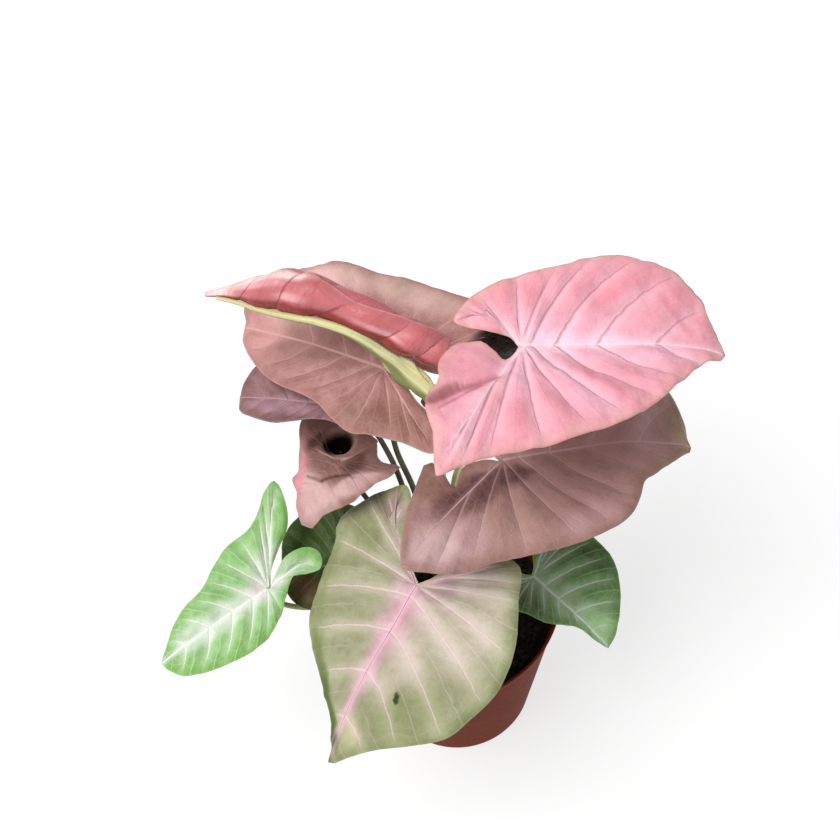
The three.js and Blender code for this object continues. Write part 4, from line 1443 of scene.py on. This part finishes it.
@dataclass(frozen=True)
class Soil:
    """Moist peat mix: a dark crumbly mound with a few pale grains in it."""

    pot: Pot
    feet: tuple[tuple[float, float, float], ...]
    top: float = 77.0
    mound: float = 3.0
    crumb: float = 0.8
    clearance: float = 0.3
    hole_gap: float = 0.5
    rings: int = 84
    around: int = 252
    crumbs: int = 1500
    crumb_sizes: tuple[float, float] = (0.5, 2.2)
    crumb_pale: float = 0.05
    pale_grains: int = 70
    grain_sizes: tuple[float, float] = (0.4, 0.9)
    grain_pale: float = 0.8
    grain_squash: tuple[float, float] = (0.65, 1.2)
    grain_jag: tuple[float, float] = (0.8, 1.2)
    seed: int = 11
    pit_depth: float = 9.0
    foot_inset: float = 0.9

    def reach(self) -> float:
        """The radius of the soil's top, a clearance inside the pot's wall."""
        return self.pot.wall_radius(self.top) - self.pot.wall - self.clearance

    def height(self, xy: Array) -> Array:
        """The top's height: a mound that falls with the square of the radius, two slow waves, lumps
        of 9 and 3 mm, and a pit round each petiole."""
        reach = self.reach()
        share = np.linalg.norm(xy, axis=1) / reach
        x, y = xy.T
        lump = np.sin(0.31 * x + 1.3) * np.cos(0.27 * y) + np.sin(0.19 * (x - y))
        z = self.top + self.mound * (1 - share**2) + self.crumb * lump / 2
        calm = ease(1 - share, 0, 0.06)
        z += calm * (0.5 * rough(xy, 9, self.seed) + 0.45 * np.abs(rough(xy, 3.2, self.seed + 1)) - 0.2)
        for fx, fy, radius in self.feet:
            away = np.hypot(x - fx, y - fy)
            z -= self.pit_depth * (1 - ease(away, radius + self.hole_gap, radius + self.hole_gap + 0.9))
        return z

    def ground(self) -> Surface:
        """The plug of soil: the top on a polar grid, and the side and bottom inside the pot."""
        reach = self.reach()
        bottom = self.pot.floor + self.clearance
        foot = self.pot.wall_radius(bottom) - self.pot.wall - self.clearance - self.foot_inset
        ring = circle(self.around)
        radii = np.linspace(0, 1, self.rings) ** 0.85 * reach
        flat = (radii[:, None, None] * ring).reshape(-1, 2)
        layers = [np.column_stack([flat, self.height(flat)])]
        for s in (0.02, 0.35, 0.7, 1.0):
            level = np.full(self.around, self.top - (self.top - bottom) * s)
            layers.append(np.column_stack([ring * (reach + (foot - reach) * s), level]))
        for s in (0.6, 0.0):
            layers.append(np.column_stack([ring * foot * s, np.full(self.around, bottom)]))
        points = np.vstack(layers)
        faces = grid_faces(len(points) // self.around, self.around, wraps=True)[:, ::-1]
        # The first and last rings shrink to a point each, which closes the plug
        last = len(points) - self.around
        faces = np.where(faces < self.around, 0, np.where(faces >= last, last, faces))
        used, small = np.unique(faces[whole(faces)], return_inverse=True)
        surface = Surface(points[used], small.reshape(-1, 3))
        return surface.at_corners({"grit": np.zeros(len(used))})

    def grains(self, count: int, low: float, high: float, pale: float, seed: int) -> Surface:
        """Loose crumbs, half sunk: twelve-cornered lumps pulled out of true at random.

        Args:
            count: how many.
            low: the smallest radius.
            high: the largest.
            pale: the grit number that they carry, from dark crumb to white grain.
            seed: fixes them.

        Returns:
            All of them as one surface.
        """
        chance = np.random.default_rng(seed)
        golden = (1 + 5**0.5) / 2
        base = unit(np.array([
            (-1, golden, 0), (1, golden, 0), (-1, -golden, 0), (1, -golden, 0),
            (0, -1, golden), (0, 1, golden), (0, -1, -golden), (0, 1, -golden),
            (golden, 0, -1), (golden, 0, 1), (-golden, 0, -1), (-golden, 0, 1),
        ], dtype=float))
        faces = np.array([
            (0, 11, 5), (0, 5, 1), (0, 1, 7), (0, 7, 10), (0, 10, 11), (1, 5, 9), (5, 11, 4), (11, 10, 2),
            (10, 7, 6), (7, 1, 8), (3, 9, 4), (3, 4, 2), (3, 2, 6), (3, 6, 8), (3, 8, 9), (4, 9, 5),
            (2, 4, 11), (6, 2, 10), (8, 6, 7), (9, 8, 1),
        ])
        reach = self.reach() - high - 0.6
        away, turn = reach * np.sqrt(chance.uniform(0, 1, count)), chance.uniform(0, 2 * np.pi, count)
        spots = np.stack([away * np.cos(turn), away * np.sin(turn)], axis=1)
        feet = np.array(self.feet)
        clear = np.linalg.norm(spots[:, None] - feet[:, :2], axis=2) > feet[:, 2] + high + 0.5
        spots = spots[clear.all(axis=1)]
        size = low + (high - low) * chance.uniform(0, 1, len(spots)) ** 2.5
        stretch = chance.uniform(*self.grain_squash, (len(spots), 1, 3))
        stretch = stretch * chance.uniform(*self.grain_jag, (len(spots), len(base), 1))
        lumps = base * stretch * size[:, None, None]
        centres = np.column_stack([spots, self.height(spots) + 0.25 * size])
        points = (lumps + centres[:, None]).reshape(-1, 3)
        all_faces = (faces + len(base) * np.arange(len(spots))[:, None, None]).reshape(-1, 3)
        shade = np.repeat(pale * chance.uniform(0.6, 1, len(spots)), len(base))
        return Surface(points, all_faces).at_corners({"grit": shade})

    def material(self) -> bpy.types.Material:
        """Moist peat: near black and dull, browner where it dries, with pale mineral grains.

        Returns:
            The material.
        """
        made, tree = start_material("potting_soil_moist_peat")
        mm = place_in_mm(tree)
        grit = add(tree, READ, {}, out=2, attribute_name="grit")
        clod = add(tree, NOISE, {"Vector": mm, "Scale": 1 / 7, "Detail": 5.0, "Roughness": 0.65})
        fine = add(tree, NOISE, {"Vector": mm, "Scale": 1 / 0.8, "Detail": 4.0, "Roughness": 0.7})
        speck = add(tree, "ShaderNodeTexVoronoi", {"Vector": mm, "Scale": 1 / 2.6})
        colour = add(tree, MIX, {0: clod, 6: linear("#0a0706"), 7: linear("#1d1510")}, **COLOURS)
        colour = wash(tree, colour, "#3a2b20", fine, (0.5, 0.75), (0.0, 0.5), soft=False)
        colour = wash(tree, colour, "#6f675e", speck, (0.03, 0.1), (0.35, 0.0), soft=False)
        colour = add(tree, MIX, {0: grit, 6: colour, 7: linear("#8f8a82")}, **COLOURS)
        relief = add(tree, MATH, {0: clod, 1: 2.0, 2: fine}, operation="MULTIPLY_ADD")
        bump = add(tree, BUMP, {"Height": relief, "Strength": 0.9, "Distance": 0.8 * MM})
        gloss = add(tree, RANGE, {0: fine, 3: 0.75, 4: 0.98})
        skin = add(tree, SKIN, {
            "Base Color": colour, "Roughness": gloss, "Normal": bump, "Specular IOR Level": 0.3,
        })
        add(tree, OUTPUT, {"Surface": skin})
        return made

    def build(self) -> bpy.types.Object:
        """Make the soil with its crumbs and pale grains in one piece."""
        heap = self.ground()
        crumbs = self.grains(self.crumbs, *self.crumb_sizes, self.crumb_pale, self.seed + 2)
        pale = self.grains(self.pale_grains, *self.grain_sizes, self.grain_pale, self.seed + 3)
        heap = heap.joined(crumbs).joined(pale)
        return heap.piece("potting_soil", self.material(), Slot.SOIL.value, ["soil"], smooth=False)


BRIGHT_PINK = LeafFinish(
    "syngonium_leaf_bright_pink", blade="#efb0bd", mottle="#e6a0ad", vein="#cf7d8c", margin="#e0aba4",
    rim="#c99080", underside="#c9a3a0", rib_colour="#f9dde8", mottled=0.7, veined=0.6, halo=0.3, net=0.05,
    deep=0.16, rib=0.6, dusk="#e0909e", margined=0.6, margin_width=7.0,
    tints=(
        Tint("#f6c6d8", 0.6, (Patch(20, 4, 34, 12), Patch(48, -6, 34, 8), Patch(-4, -16, 20, 8, -100),
                              Patch(14, -24, 26, 9, -55))),
        # Painted glow: pale pink at the junction and along the midrib, light shining through the leaf
        Tint("#fad9ea", 0.75, (Patch(5, 0, 15, 8), Patch(28, 1, 28, 4.5))),
        Tint("#df8592", 0.3, (Patch(62, 34, 36, 8, -40), Patch(-6, 26, 22, 10), Patch(10, -32, 26, 5, -70),
                              Patch(32, -22, 26, 5, -38), Patch(-8, -46, 20, 5, -95),
                              Patch(40, 26, 22, 6, 30))),
        Tint("#f7d3df", 0.4, (Patch(-22, -33, 15, 3.6, 58), Patch(-30, -52, 10, 4, 64))),
        # Painted shade: a dark patch in the crease of the front lobe
        Tint("#a8656a", 0.75, (Patch(-38, -31, 7, 4, 28),)),
    ),
    strokes=(
        # Painted shade along the front lobe's creases
        Stroke((-44, -35), (-13, -20), 2.4, "#9c4f5d", 0.6),
        Stroke((-38, -37.5), (-20, -25), 1.6, "#a35a66", 0.5),
        Stroke((-42, -32), (-30, -26), 4.0, "#97605c", 0.55),
        Stroke((64, 24), (75, 6), 3.5, "#c9707c", 0.35),
    ),
)
DUSTY_ROSE = LeafFinish(
    "syngonium_leaf_dusty_rose", blade="#b0837e", mottle="#9e6f67", vein="#cfa09a", margin="#a0706a",
    rim="#c9a596", underside="#9a7a70", mottled=0.7, veined=0.45, halo=0.1, net=0.1, deep=0.2,
    tints=(
        Tint("#c9a9a0", 0.8, (Patch(22, -40, 22, 9), Patch(-8, -37, 20, 8), Patch(70, -12, 24, 10))),
        Tint("#ab9a86", 0.6, (Patch(32, -40, 12, 4, 20), Patch(8, -38, 8, 4))),
        Tint("#e9c2be", 0.8, (Patch(54, -36, 26, 7, -12),)),
        Tint("#dca29e", 0.6, (Patch(80, 4, 22, 14),)),
        Tint("#8a6458", 0.75, (Patch(-22, 20, 20, 10), Patch(-6, 26, 16, 8))),
        # Painted shadow: near black where the pink leaf above shades the lobe under its sinus
        Tint("#1c1005", 1.0, (Patch(-53, -27, 17, 11, 10, 2.5),), over=True),
    ),
)
ROSE_BROWN = LeafFinish(
    "syngonium_leaf_rose_brown", blade="#b28e87", mottle="#997770", vein="#c6a3a4", margin="#8e6a5e",
    rim="#a98a74", underside="#8a766a", mottled=0.6, veined=0.45, halo=0.18, net=0.08, deep=0.18,
    margined=0.6, margin_width=7.0,
    tints=(
        # The lobe's own paler mauve, with a painted sheen at its middle
        Tint("#c4a5a5", 0.8, (Patch(-38, -42, 20, 13, 10),)),
        Tint("#d8bcbd", 0.5, (Patch(-40, -43, 10, 7, 10),)),
        # Paler patches; the one near the tip paints in light where the leaf above shades it
        Tint("#b59290", 0.85, (Patch(70, 2, 28, 20), Patch(40, 30, 40, 14), Patch(30, -42, 20, 8, 20))),
        Tint("#a89872", 0.8, (Patch(98, 4, 13, 12), Patch(82, -12, 14, 6, 30))),
        # Painted shadow: dark maroon where the leaf above shades this one
        Tint("#4a2226", 0.8, (Patch(-6, -11, 18, 6), Patch(-22, -20, 21, 10, 20))),
        Tint("#7a5a44", 0.6, (Patch(-40, -6, 8, 16, 20),)),
    ),
)
CURLED_ROSE = LeafFinish(
    "syngonium_leaf_curled_rose", blade="#916d66", mottle="#75534b", vein="#a17c74", margin="#8b665e",
    rim="#b89488", underside="#8a6a5e", mottled=0.6, veined=0.06, halo=0.02, deep=0.1, net=0.03, rib=0.08,
    pleat=0.5,
    tints=(
        Tint("#d3aeab", 0.9, (Patch(30, 2, 18, 24, 0, 2.6), Patch(4, 25, 16, 8, 135, 2.2))),
        Tint("#d8919a", 0.6, (Patch(22, -10, 14, 5, 20),)),
        # Painted shade: dark brown in the bowl of the curl above the fold
        Tint("#452a22", 0.8, (Patch(-4, 9, 7, 9, -10, 1.3), Patch(-2, -16, 11, 3.5))),
        Tint("#b38d86", 0.75, (Patch(-8.6, -9.3, 9.4, 8.6, 0, 4),)),
        # Painted shade: near black inside the curl's hollow
        Tint("#0e0302", 1.0, (Patch(-7.4, -9.2, 9, 6.8, 0, 3),), over=True),
    ),
    strokes=(
        # Painted shadow along the fold under the bowl
        Stroke((17, -5), (13.5, 3), 1.6, "#5a3a34", 0.6),
        Stroke((13.5, 3), (7.5, 8.5), 2.0, "#4f302a", 0.75),
        Stroke((7.5, 8.5), (4, 14), 2.0, "#4f302a", 0.7), Stroke((4, 14), (4, 19), 1.6, "#5f4038", 0.5),
        # Painted highlight on the pale lip below the hollow
        Stroke((4, -9.5), (0.8, -2.4), 1.1, "#b59a92", 0.6),
        Stroke((0.8, -2.4), (-6, 3), 1.1, "#b59a92", 0.5),
        Stroke((15, -12), (36, -1.5), 3.4, "#d98c96", 0.6),
        # Painted light: a lit pink stripe along the lobe's margin
        Stroke((-3, -30), (13, -13), 3.6, "#bd878a", 0.6),
    ),
)
MAUVE = LeafFinish(
    "syngonium_leaf_mauve", blade="#966f70", mottle="#7a5759", vein="#ab868c", margin="#7b5856",
    rim="#a98890", underside="#8a6e70", mottled=0.6, veined=0.3, halo=0.1, deep=0.2, net=0.08,
    # The first tint is a painted highlight, paler lilac along the midrib
    tints=(Tint("#ad8896", 0.6, (Patch(20, 4, 22, 5),)), Tint("#55383c", 0.6, (Patch(16, 11, 26, 4),))),
)
PINK_GREEN = LeafFinish(
    "syngonium_leaf_pink_green", blade="#abac8e", mottle="#979a75", vein="#ddcfc0", margin="#8a9166",
    rim="#a9ab80", underside="#a3a585", rib_colour="#e6bccb", core="#9c5f74", mottled=0.8, veined=0.5,
    halo=0.4, net=0.04, deep=0.35, margined=0.85, margin_width=7.0, ring=0.14, dusk="#aca58a",
    vein_width=0.8,
    tints=(
        Tint("#cfc3b6", 0.85, (Patch(2, 38, 24, 16), Patch(22, 16, 30, 12), Patch(-16, 30, 12, 10))),
        Tint("#d8b0bd", 0.65, (Patch(8, 2, 26, 12), Patch(36, 1, 34, 6))),
        Tint("#d795b0", 0.45, (Patch(6, 1, 14, 6), Patch(24, 0, 24, 3))),
        # Greyer mauve patches; the one by the junction is painted shade under the edge of the leaf above
        Tint("#8f7577", 0.75, (Patch(-7, 13, 9, 12, 20), Patch(-28, -30, 16, 10, 60))),
        Tint("#899062", 0.8, (Patch(50, 32, 24, 12, -50), Patch(54, -25, 36, 5, -150),
                              Patch(-8, -34, 14, 10), Patch(14, -46, 26, 4, 6))),
        Tint("#c2bd95", 0.6, (Patch(76, 6, 12, 5),)),
        Tint("#4d5d2c", 0.85, (Patch(68, -11.5, 24, 3.4, 39),), over=True),
        Tint("#1f3a1a", 0.97, (Patch(46, 24, 2.9, 1.9, 20, 3),), over=True),
    ),
    strokes=(
        Stroke((92, 0.2), (75, -3.4), 3.0, "#465628", 0.8),
        Stroke((75, -3.4), (58, -17.5), 3.2, "#55642f", 0.7),
        Stroke((58, -17.5), (44, -32.5), 3.4, "#6d7849", 0.6),
        Stroke((44, -32.5), (8, -47), 3.0, "#7d875a", 0.45),
    ),
)
PALE_GREEN = LeafFinish(
    "syngonium_leaf_pale_green", blade="#98c47e", mottle="#7cb45c", vein="#e9ebe4", margin="#6fa64c",
    rim="#9fcf70", underside="#8fae74", mottled=0.6, veined=0.65, halo=0.45, net=0.06, deep=0.14,
    dusk="#93b184",
    tints=(
        Tint("#d6e2d0", 0.8, (Patch(16, 0, 32, 7), Patch(-8, -10, 12, 8), Patch(42, 0, 16, 6))),
        Tint("#e3d0d6", 0.8, (Patch(2, -1, 12, 5),)),
        Tint("#74a93f", 0.6, (Patch(30, 20, 26, 6), Patch(56, 4, 10, 10))),
    ),
)
GREEN = LeafFinish(
    "syngonium_leaf_green", blade="#6b8a58", mottle="#52803c", vein="#c5d2c0", margin="#4d7a36",
    rim="#7fa85c", underside="#7a9468", mottled=0.6, veined=0.6, halo=0.3, net=0.08, deep=0.18,
    dusk="#7f9a70",
    tints=(
        Tint("#a3b996", 0.55, (Patch(14, 2, 22, 9),)),
        # Painted shade: olive on the folded lobe that lies in shade
        Tint("#58593c", 0.75, (Patch(-4, -16, 12, 10), Patch(14, -16, 14, 6))),
        Tint("#3c5818", 0.65, (Patch(12, 30, 20, 8),)),
        Tint("#b0d69c", 0.6, (Patch(40, 4, 12, 9),)),
    ),
)
DARK_GREEN = LeafFinish(
    "syngonium_leaf_dark_green", blade="#3f5527", mottle="#4c6430", vein="#7d8f62", margin="#3a4a26",
    rim="#566a3c", underside="#5a6444", mottled=0.6, veined=0.3, halo=0.15, deep=0.2, dusk="#7f9a70",
    net=0.06,
    # Brown over the nearer part: partly the leaf's own brown, partly painted deep shade
    tints=(Tint("#5c381a", 0.9, (Patch(14, 20, 30, 13), Patch(28, 12, 10, 10))),),
)
CORAL = LeafFinish(
    "syngonium_leaf_coral", blade="#c8777c", mottle="#b76869", vein="#8c3c42", margin="#d88e92",
    rim="#ecb8b6", underside="#b3606a", mottled=0.6, veined=0.7, halo=0.0, net=0.05, deep=0.2,
    margined=0.3, margin_width=3.0, roughness=0.25, dusk="#cf8a8e",
    tints=(
        # Pale tip, the leaf's own colour, and a painted sheen along the top edge of the roll
        Tint("#f6dcda", 0.95, (Patch(3, 40, 13, 130), Patch(18, -14, 15, 34), Patch(38, 0, 14, 17))),
        # Painted sheen on the roll's swellings
        Tint("#eab4b6", 0.75, (Patch(26, 26, 13, 14), Patch(44, 60, 8, 12), Patch(72, 70, 8, 12))),
        Tint("#cf7a7f", 0.7, (Patch(66, 46, 26, 18), Patch(88, 40, 12, 22))),
        # Crimson low side by the midrib: partly the leaf's own colour, partly painted shade
        Tint("#8e332f", 0.95, (Patch(26, 112, 36, 40, 0, 2), Patch(66, 116, 40, 36, 0, 2))),
    ),
)

LEAVES = (
    OpenLeaf(
        "top_right", Slot.BRIGHT_PINK, BRIGHT_PINK, (52, 18, 238), -3, -10, 8, 92,
        Half(
            ((90, 7), (83, 25), (73, 39), (59, 45), (41, 47), (21, 40), (3, 35), (-9, 31), (-20, 24),
             (-28, 12)),
            ((-21, 9), (-13, 7), (-5, 5)), (-14, 17),
        ),
        Half(
            ((77, -9), (64, -22), (50, -35), (33, -46), (16, -52), (-1, -57), (-16, -59), (-32, -64),
             (-42, -68)),
            ((-42, -58), (-42, -48), (-44, -40), (-43, -30), (-37, -21), (-37, -14), (-34, -4), (-27, 2),
             (-18, 3), (-12, -1), (-8, -7), (-4, -4)),
        ),
        ((50, 0, 0, 110, -16), *arch(24, 80, 20), *fold(14)), 0.8, 3,
        Stalk((8, 3), ((10, 4, 130), (15, 7, 170), (19, 9, 181), (33, 13, 216)), (2.2, 1.5),
              Slot.STALK_PALE),
        quilt=1.5, crowding=2.1, crimp=0.5,
        creases=(Crease((-8, -17.5), (-43, -34.5), 2.2, -2.0), Crease((-12, -20), (-42, -40), 2.0, -1.3),
                 Crease((-6, -14), (-40, -56), 3.5, 1.2)),
    ),
    OpenLeaf(
        "top_left", Slot.DUSTY_ROSE, DUSTY_ROSE, (-8, 45, 214), 141.5, 0, -26, 93,
        Half(
            ((89, 5), (70, 17), (49, 24), (24, 26), (14, 30), (1, 34), (-9, 32), (-27, 30), (-42, 29)),
            ((-40, 20), (-34, 15), (-29, 12), (-24, 10), (-18, 6.5), (-11, 2), (-5, 0.5)),
        ),
        Half(
            ((99, -8), (86, -28), (63, -38), (44, -43), (23, -43), (1, -44), (-20, -43), (-40, -42),
             (-54, -39), (-63, -33)),
            ((-61, -25), (-52, -15), (-38, -9), (-25, -5), (-13, -5), (-5, -3)), (-42, -28),
        ),
        ((30, 0, 0, 90, -16), *arch(22, 80, 20), *fold(8)), 0.8, 4,
        Stalk((-3, 13), ((-3, 17, 112), (-4.5, 27, 145), (-9.5, 34.5, 171), (-9, 42, 200)), (1.7, 1.2),
              Slot.STALK_DARK),
    ),
    OpenLeaf(
        "mid_right", Slot.ROSE_BROWN, ROSE_BROWN, (38, 6, 182), 5, -8, 5, 97,
        Half(
            ((97, 5), (98, 24), (92, 37), (80, 47), (60, 52), (35, 50), (10, 47), (-10, 45), (-24, 43),
             (-30, 38)),
            ((-26, 30), (-15, 20), (-6, 8)), (-18, 31),
        ),
        Half(
            ((90, -4), (70, -18), (59, -25), (54, -33), (45, -43), (28, -50), (8, -53), (-19, -54),
             (-32, -56), (-45, -54), (-57, -49)),
            ((-55, -40), (-50, -24), (-43, -10), (-38, 0), (-35, 4), (-31, 4), (-28, -2), (-26.5, -11),
             (-25, -12), (-23, -7), (-19, -0.5), (-13, 1.5), (-6, 1.5)),
        ),
        ((45, 0, 0, 90, -20), *arch(22, 80, 20), *fold(10)), 0.9, 3,
        Stalk((14, -3), ((16, 1, 130), (22, 6, 165), (29, 9, 175)), (2.0, 1.4), Slot.STALK_GREEN),
    ),
    OpenLeaf(
        "front", Slot.PINK_GREEN, PINK_GREEN, (-11, -23, 138), -137, -28, 5, 93,
        Half(
            ((85, 8), (75, 19), (59, 41), (47, 54), (35, 59), (20, 63), (5, 62), (-6, 59), (-20, 51),
             (-32, 44)),
            ((-30, 30), (-17, 13), (-6, 4)),
        ),
        Half(
            ((84, -1), (73, -7), (58, -22), (46, -35), (39, -40), (21, -47), (6, -50), (-8, -55), (-21, -48),
             (-33, -37), (-38, -30)),
            ((-33, -24), (-17, -15), (-5, -5)), (-21, -29),
        ),
        ((45, 0, 0, 90, -16), *arch(22, 80, 20), *fold(12)), 0.8, 4,
        Stalk((1, -8), ((-3, -13, 105), (-8, -20, 126)), (2.0, 1.4), Slot.STALK_GREEN),
        crowding=1.2, laterals=(4.4, 1.6, 1.9, 1.3),
    ),
    OpenLeaf(
        "mid_left", Slot.MAUVE, MAUVE, (-36, 50, 192), 158, 0, -22, 50,
        Half(((48, 6), (42, 9), (27, 12), (14, 10), (2, 8), (-9, 9)), ((-10, 6), (-6, 3), (-3, 1))),
        Half(((49, -8), (44, -16), (34, -25), (22, -30), (6, -30), (-8, -22)),
             ((-9, -13), (-7, -7), (-3, -3))),
        ((22, 0, 0, 50, -10), *arch(14, 60, 10), *fold(8)), 0.6, 3,
        Stalk((-8, 19), ((-8, 26, 120), (-13, 38, 160), (-22, 47, 180)), (1.7, 1.2), Slot.STALK_DARK),
    ),
    OpenLeaf(
        "curled", Slot.ROSE_BROWN, CURLED_ROSE, (-39, 42, 160), -145, 0, 0, 40,
        Half(
            ((34, 6), (27, 11), (19, 22), (12, 30), (6, 31), (0, 30), (-4, 31), (-15, 32)),
            ((-13, 22), (-14, 15), (-18, 9), (-21, 4.5), (-14, 3), (-6, 2)), (-9, 18),
        ),
        Half(
            ((33, -3), (28, -6), (25, -12), (20, -12), (10, -18), (1, -29), (-6, -33), (-14, -30)),
            ((-18, -22), (-21, -12), (-23, -4), (-22, 4.4), (-14, 2.9), (-6, 1.9)), (-5, -23),
        ),
        ((8, 0, 0, 8, -50), *fold(15)), 0.5, 3,
        Stalk((-13, 10), ((-18, 18, 115), (-30, 33, 143)), (1.7, 1.2), Slot.STALK_DARK),
        hollow=(-8.5, -9.5, 6, 15), quilt=0.12,
    ),
    OpenLeaf(
        "low_left", Slot.PALE_GREEN, PALE_GREEN, (-85, 5, 118), -157, -10, -24, 65,
        Half(
            ((63, 4), (57, 12), (45, 18), (26, 23), (13, 22), (2, 16), (-7, 8), (-14, 2.5), (-20, 5),
             (-27, 7)),
            ((-31, 0), (-27, -6), (-16, -8), (-6, -3)), (-21, -1),
        ),
        Half(
            ((61, -2), (50, -10), (40, -15), (27, -18), (15, -25), (5, -29), (-8, -30), (-18, -36),
             (-24, -42), (-32, -44)),
            ((-30, -29), (-24, -19), (-15, -13), (-6, -6)),
        ),
        ((30, 0, 0, 90, -16), *arch(18, 60, 15), *fold(12)), 0.6, 4,
        Stalk((-12, -4), ((-26, -2, 94), (-48, 1, 98), (-72, 3, 99), (-83, 5, 105)), (1.6, 1.2),
              Slot.STALK_GREEN),
        crowding=1.3,
    ),
    OpenLeaf(
        "low_right", Slot.GREEN, GREEN, (46, -12, 112), -48, -25, 5, 50,
        Half(((47, 9), (36, 24), (23, 34), (11, 36), (-2, 34), (-12, 28)), ((-13, 18), (-8, 8), (-3, 3))),
        Half(
            ((42, -2), (32, -4), (26, -8), (17, -15), (10, -18), (0, -22), (-12, -20)),
            ((-13, -12), (-9, -6), (-4, -2)),
        ),
        ((25, 0, 0, 90, -16), *arch(18, 60, 15), *fold(12)), 0.6, 3,
        Stalk((11, -12), ((22, -13, 96), (36, -13, 105)), (1.6, 1.2), Slot.STALK_GREEN),
        crowding=1.3,
    ),
    OpenLeaf(
        "low_back", Slot.DARK_GREEN, DARK_GREEN, (-43, 20, 106), 173, -5, -15, 38,
        Half(((36, 9), (32, 17), (26, 22), (15, 26), (3, 25), (-14, 19)), ((-14, 12), (-8, 6), (-3, 2))),
        Half(
            ((38, -9), (36, -18), (32, -25), (24, -32), (13, -35), (0, -32), (-12, -22)),
            ((-12, -14), (-8, -7), (-4, -3)),
        ),
        (*arch(14, 60, 15), *fold(12)), 0.5, 3,
        Stalk((-19, 4), ((-25, 10, 92), (-37, 18, 100)), (1.5, 1.1), Slot.STALK_DARK),
    ),
)
ROLLED = RolledLeaf(
    CORAL,
    Stalk(
        (4, 10),
        ((6, 13, 130, 2, 2), (11, 18, 175, 2, 2), (14, 21.5, 198, 3, 2), (11.8, 23.3, 211, 4.4, 1.7),
         (7.2, 26.3, 217.7, 5.6, 1.5), (1.5, 29.8, 223.5, 5.4, 1.4), (-7, 32.8, 234.5, 3.2, 1.6)),
        (2.3, 2.3), Slot.STALK_PALE,
    ),
)


@dataclass(frozen=True)
class Studio:
    """White table, soft lamps and the camera at the photograph's angle."""

    lens: float = 42.857
    sensor: float = 36.0
    place: tuple[float, float, float] = (4.3, -288.3, 525.9)
    back: tuple[float, float, float] = (0.0, -0.6896, 0.7242)
    right: tuple[float, float, float] = (0.9845, -0.1270, -0.1209)
    table_half: float = 7.0
    table_drop: float = 0.0004

    def camera(self) -> None:
        """Stand the camera at its place: its columns are right, up and back, with up = back x right."""
        back, right = np.array(self.back), np.array(self.right)
        right = unit(right - back * (back @ right) / (back @ back))
        back = unit(back)
        up = np.cross(back, right)
        data = bpy.data.cameras.new("camera")
        data.lens, data.sensor_width, data.clip_start = self.lens, self.sensor, 0.01
        made = bpy.data.objects.new("camera", data)
        turned = np.eye(4)
        turned[:3, 0], turned[:3, 1], turned[:3, 2] = right, up, back
        turned[:3, 3] = np.array(self.place) * MM
        made.matrix_world = Matrix(turned.tolist())
        bpy.context.scene.collection.objects.link(made)
        bpy.context.scene.camera = made

    def table(self) -> None:
        """Lay the pale floor."""
        mesh = bpy.data.meshes.new("table")
        half = self.table_half
        corners = [(-half, -half, 0), (half, -half, 0), (half, half, 0), (-half, half, 0)]
        mesh.from_pydata(corners, [], [(0, 1, 2, 3)])
        material, tree = start_material("table_matt_white")
        skin = add(tree, SKIN, {
            "Base Color": linear("#8b8b8b"), "Roughness": 0.95, "Specular IOR Level": 0.0,
            "Emission Color": linear("#ffffff"), "Emission Strength": 0.72,
        })
        add(tree, OUTPUT, {"Surface": skin})
        mesh.materials.append(material)
        made = bpy.data.objects.new("table", mesh)
        made.location = (0, 0, -self.table_drop)
        bpy.context.scene.collection.objects.link(made)

    def lamp(self, name: str, place: tuple[float, float, float], spread: float, power: float) -> None:
        """Hang a far soft lamp that looks at the plant.

        Args:
            name: its name.
            place: the direction that it stands in.
            spread: how wide it looks from the plant, in degrees.
            power: its strength on a surface that faces it, in watts a square metre.
        """
        data = bpy.data.lights.new(name, "SUN")
        data.angle, data.energy = np.radians(spread), power
        made = bpy.data.objects.new(name, data)
        away = unit(np.array(place))
        side = unit(np.cross([0.0, 0.0, 1.0], away))
        turned = np.eye(4)
        turned[:3, 0], turned[:3, 1], turned[:3, 2] = side, np.cross(away, side), away
        made.matrix_world = Matrix(turned.tolist())
        bpy.context.scene.collection.objects.link(made)

    def light(self) -> None:
        """Light the set: an even white surround and a large key from the upper left."""
        world = bpy.data.worlds.new("surround")
        world.use_nodes = True
        tree = world.node_tree
        tree.nodes.clear()
        glow = add(tree, "ShaderNodeBackground", {"Color": linear("#ffffff"), "Strength": 0.42})
        add(tree, "ShaderNodeOutputWorld", {"Surface": glow})
        bpy.context.scene.world = world
        self.lamp("key", (-0.52, -0.31, 1.0), 38.0, 2.95)
        bpy.context.scene.view_settings.view_transform = "Standard"
        bpy.context.scene.view_settings.look = "None"


def main() -> None:
    """Build and dress the plant in order: the set, the pot and soil, then each leaf."""
    logging.basicConfig(level=logging.INFO, format="%(name)s %(message)s")
    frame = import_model()
    log.info("row of %d nodes", len(frame["nodes"]))
    studio = Studio()
    studio.camera()
    studio.table()
    studio.light()
    for slot, finish in STALK_FINISHES.items():
        STALK_MATERIALS[slot] = finish.material()
    pot = Pot()
    pot.build()
    stalks = [leaf.stalk for leaf in LEAVES] + [ROLLED.stalk]
    Soil(pot, tuple((*stalk.foot, stalk.radii[0]) for stalk in stalks)).build()
    for leaf in LEAVES:
        leaf.petiole()
        leaf.blade()
    ROLLED.petiole()
    ROLLED.blade()


if __name__ == "__main__":
    main()
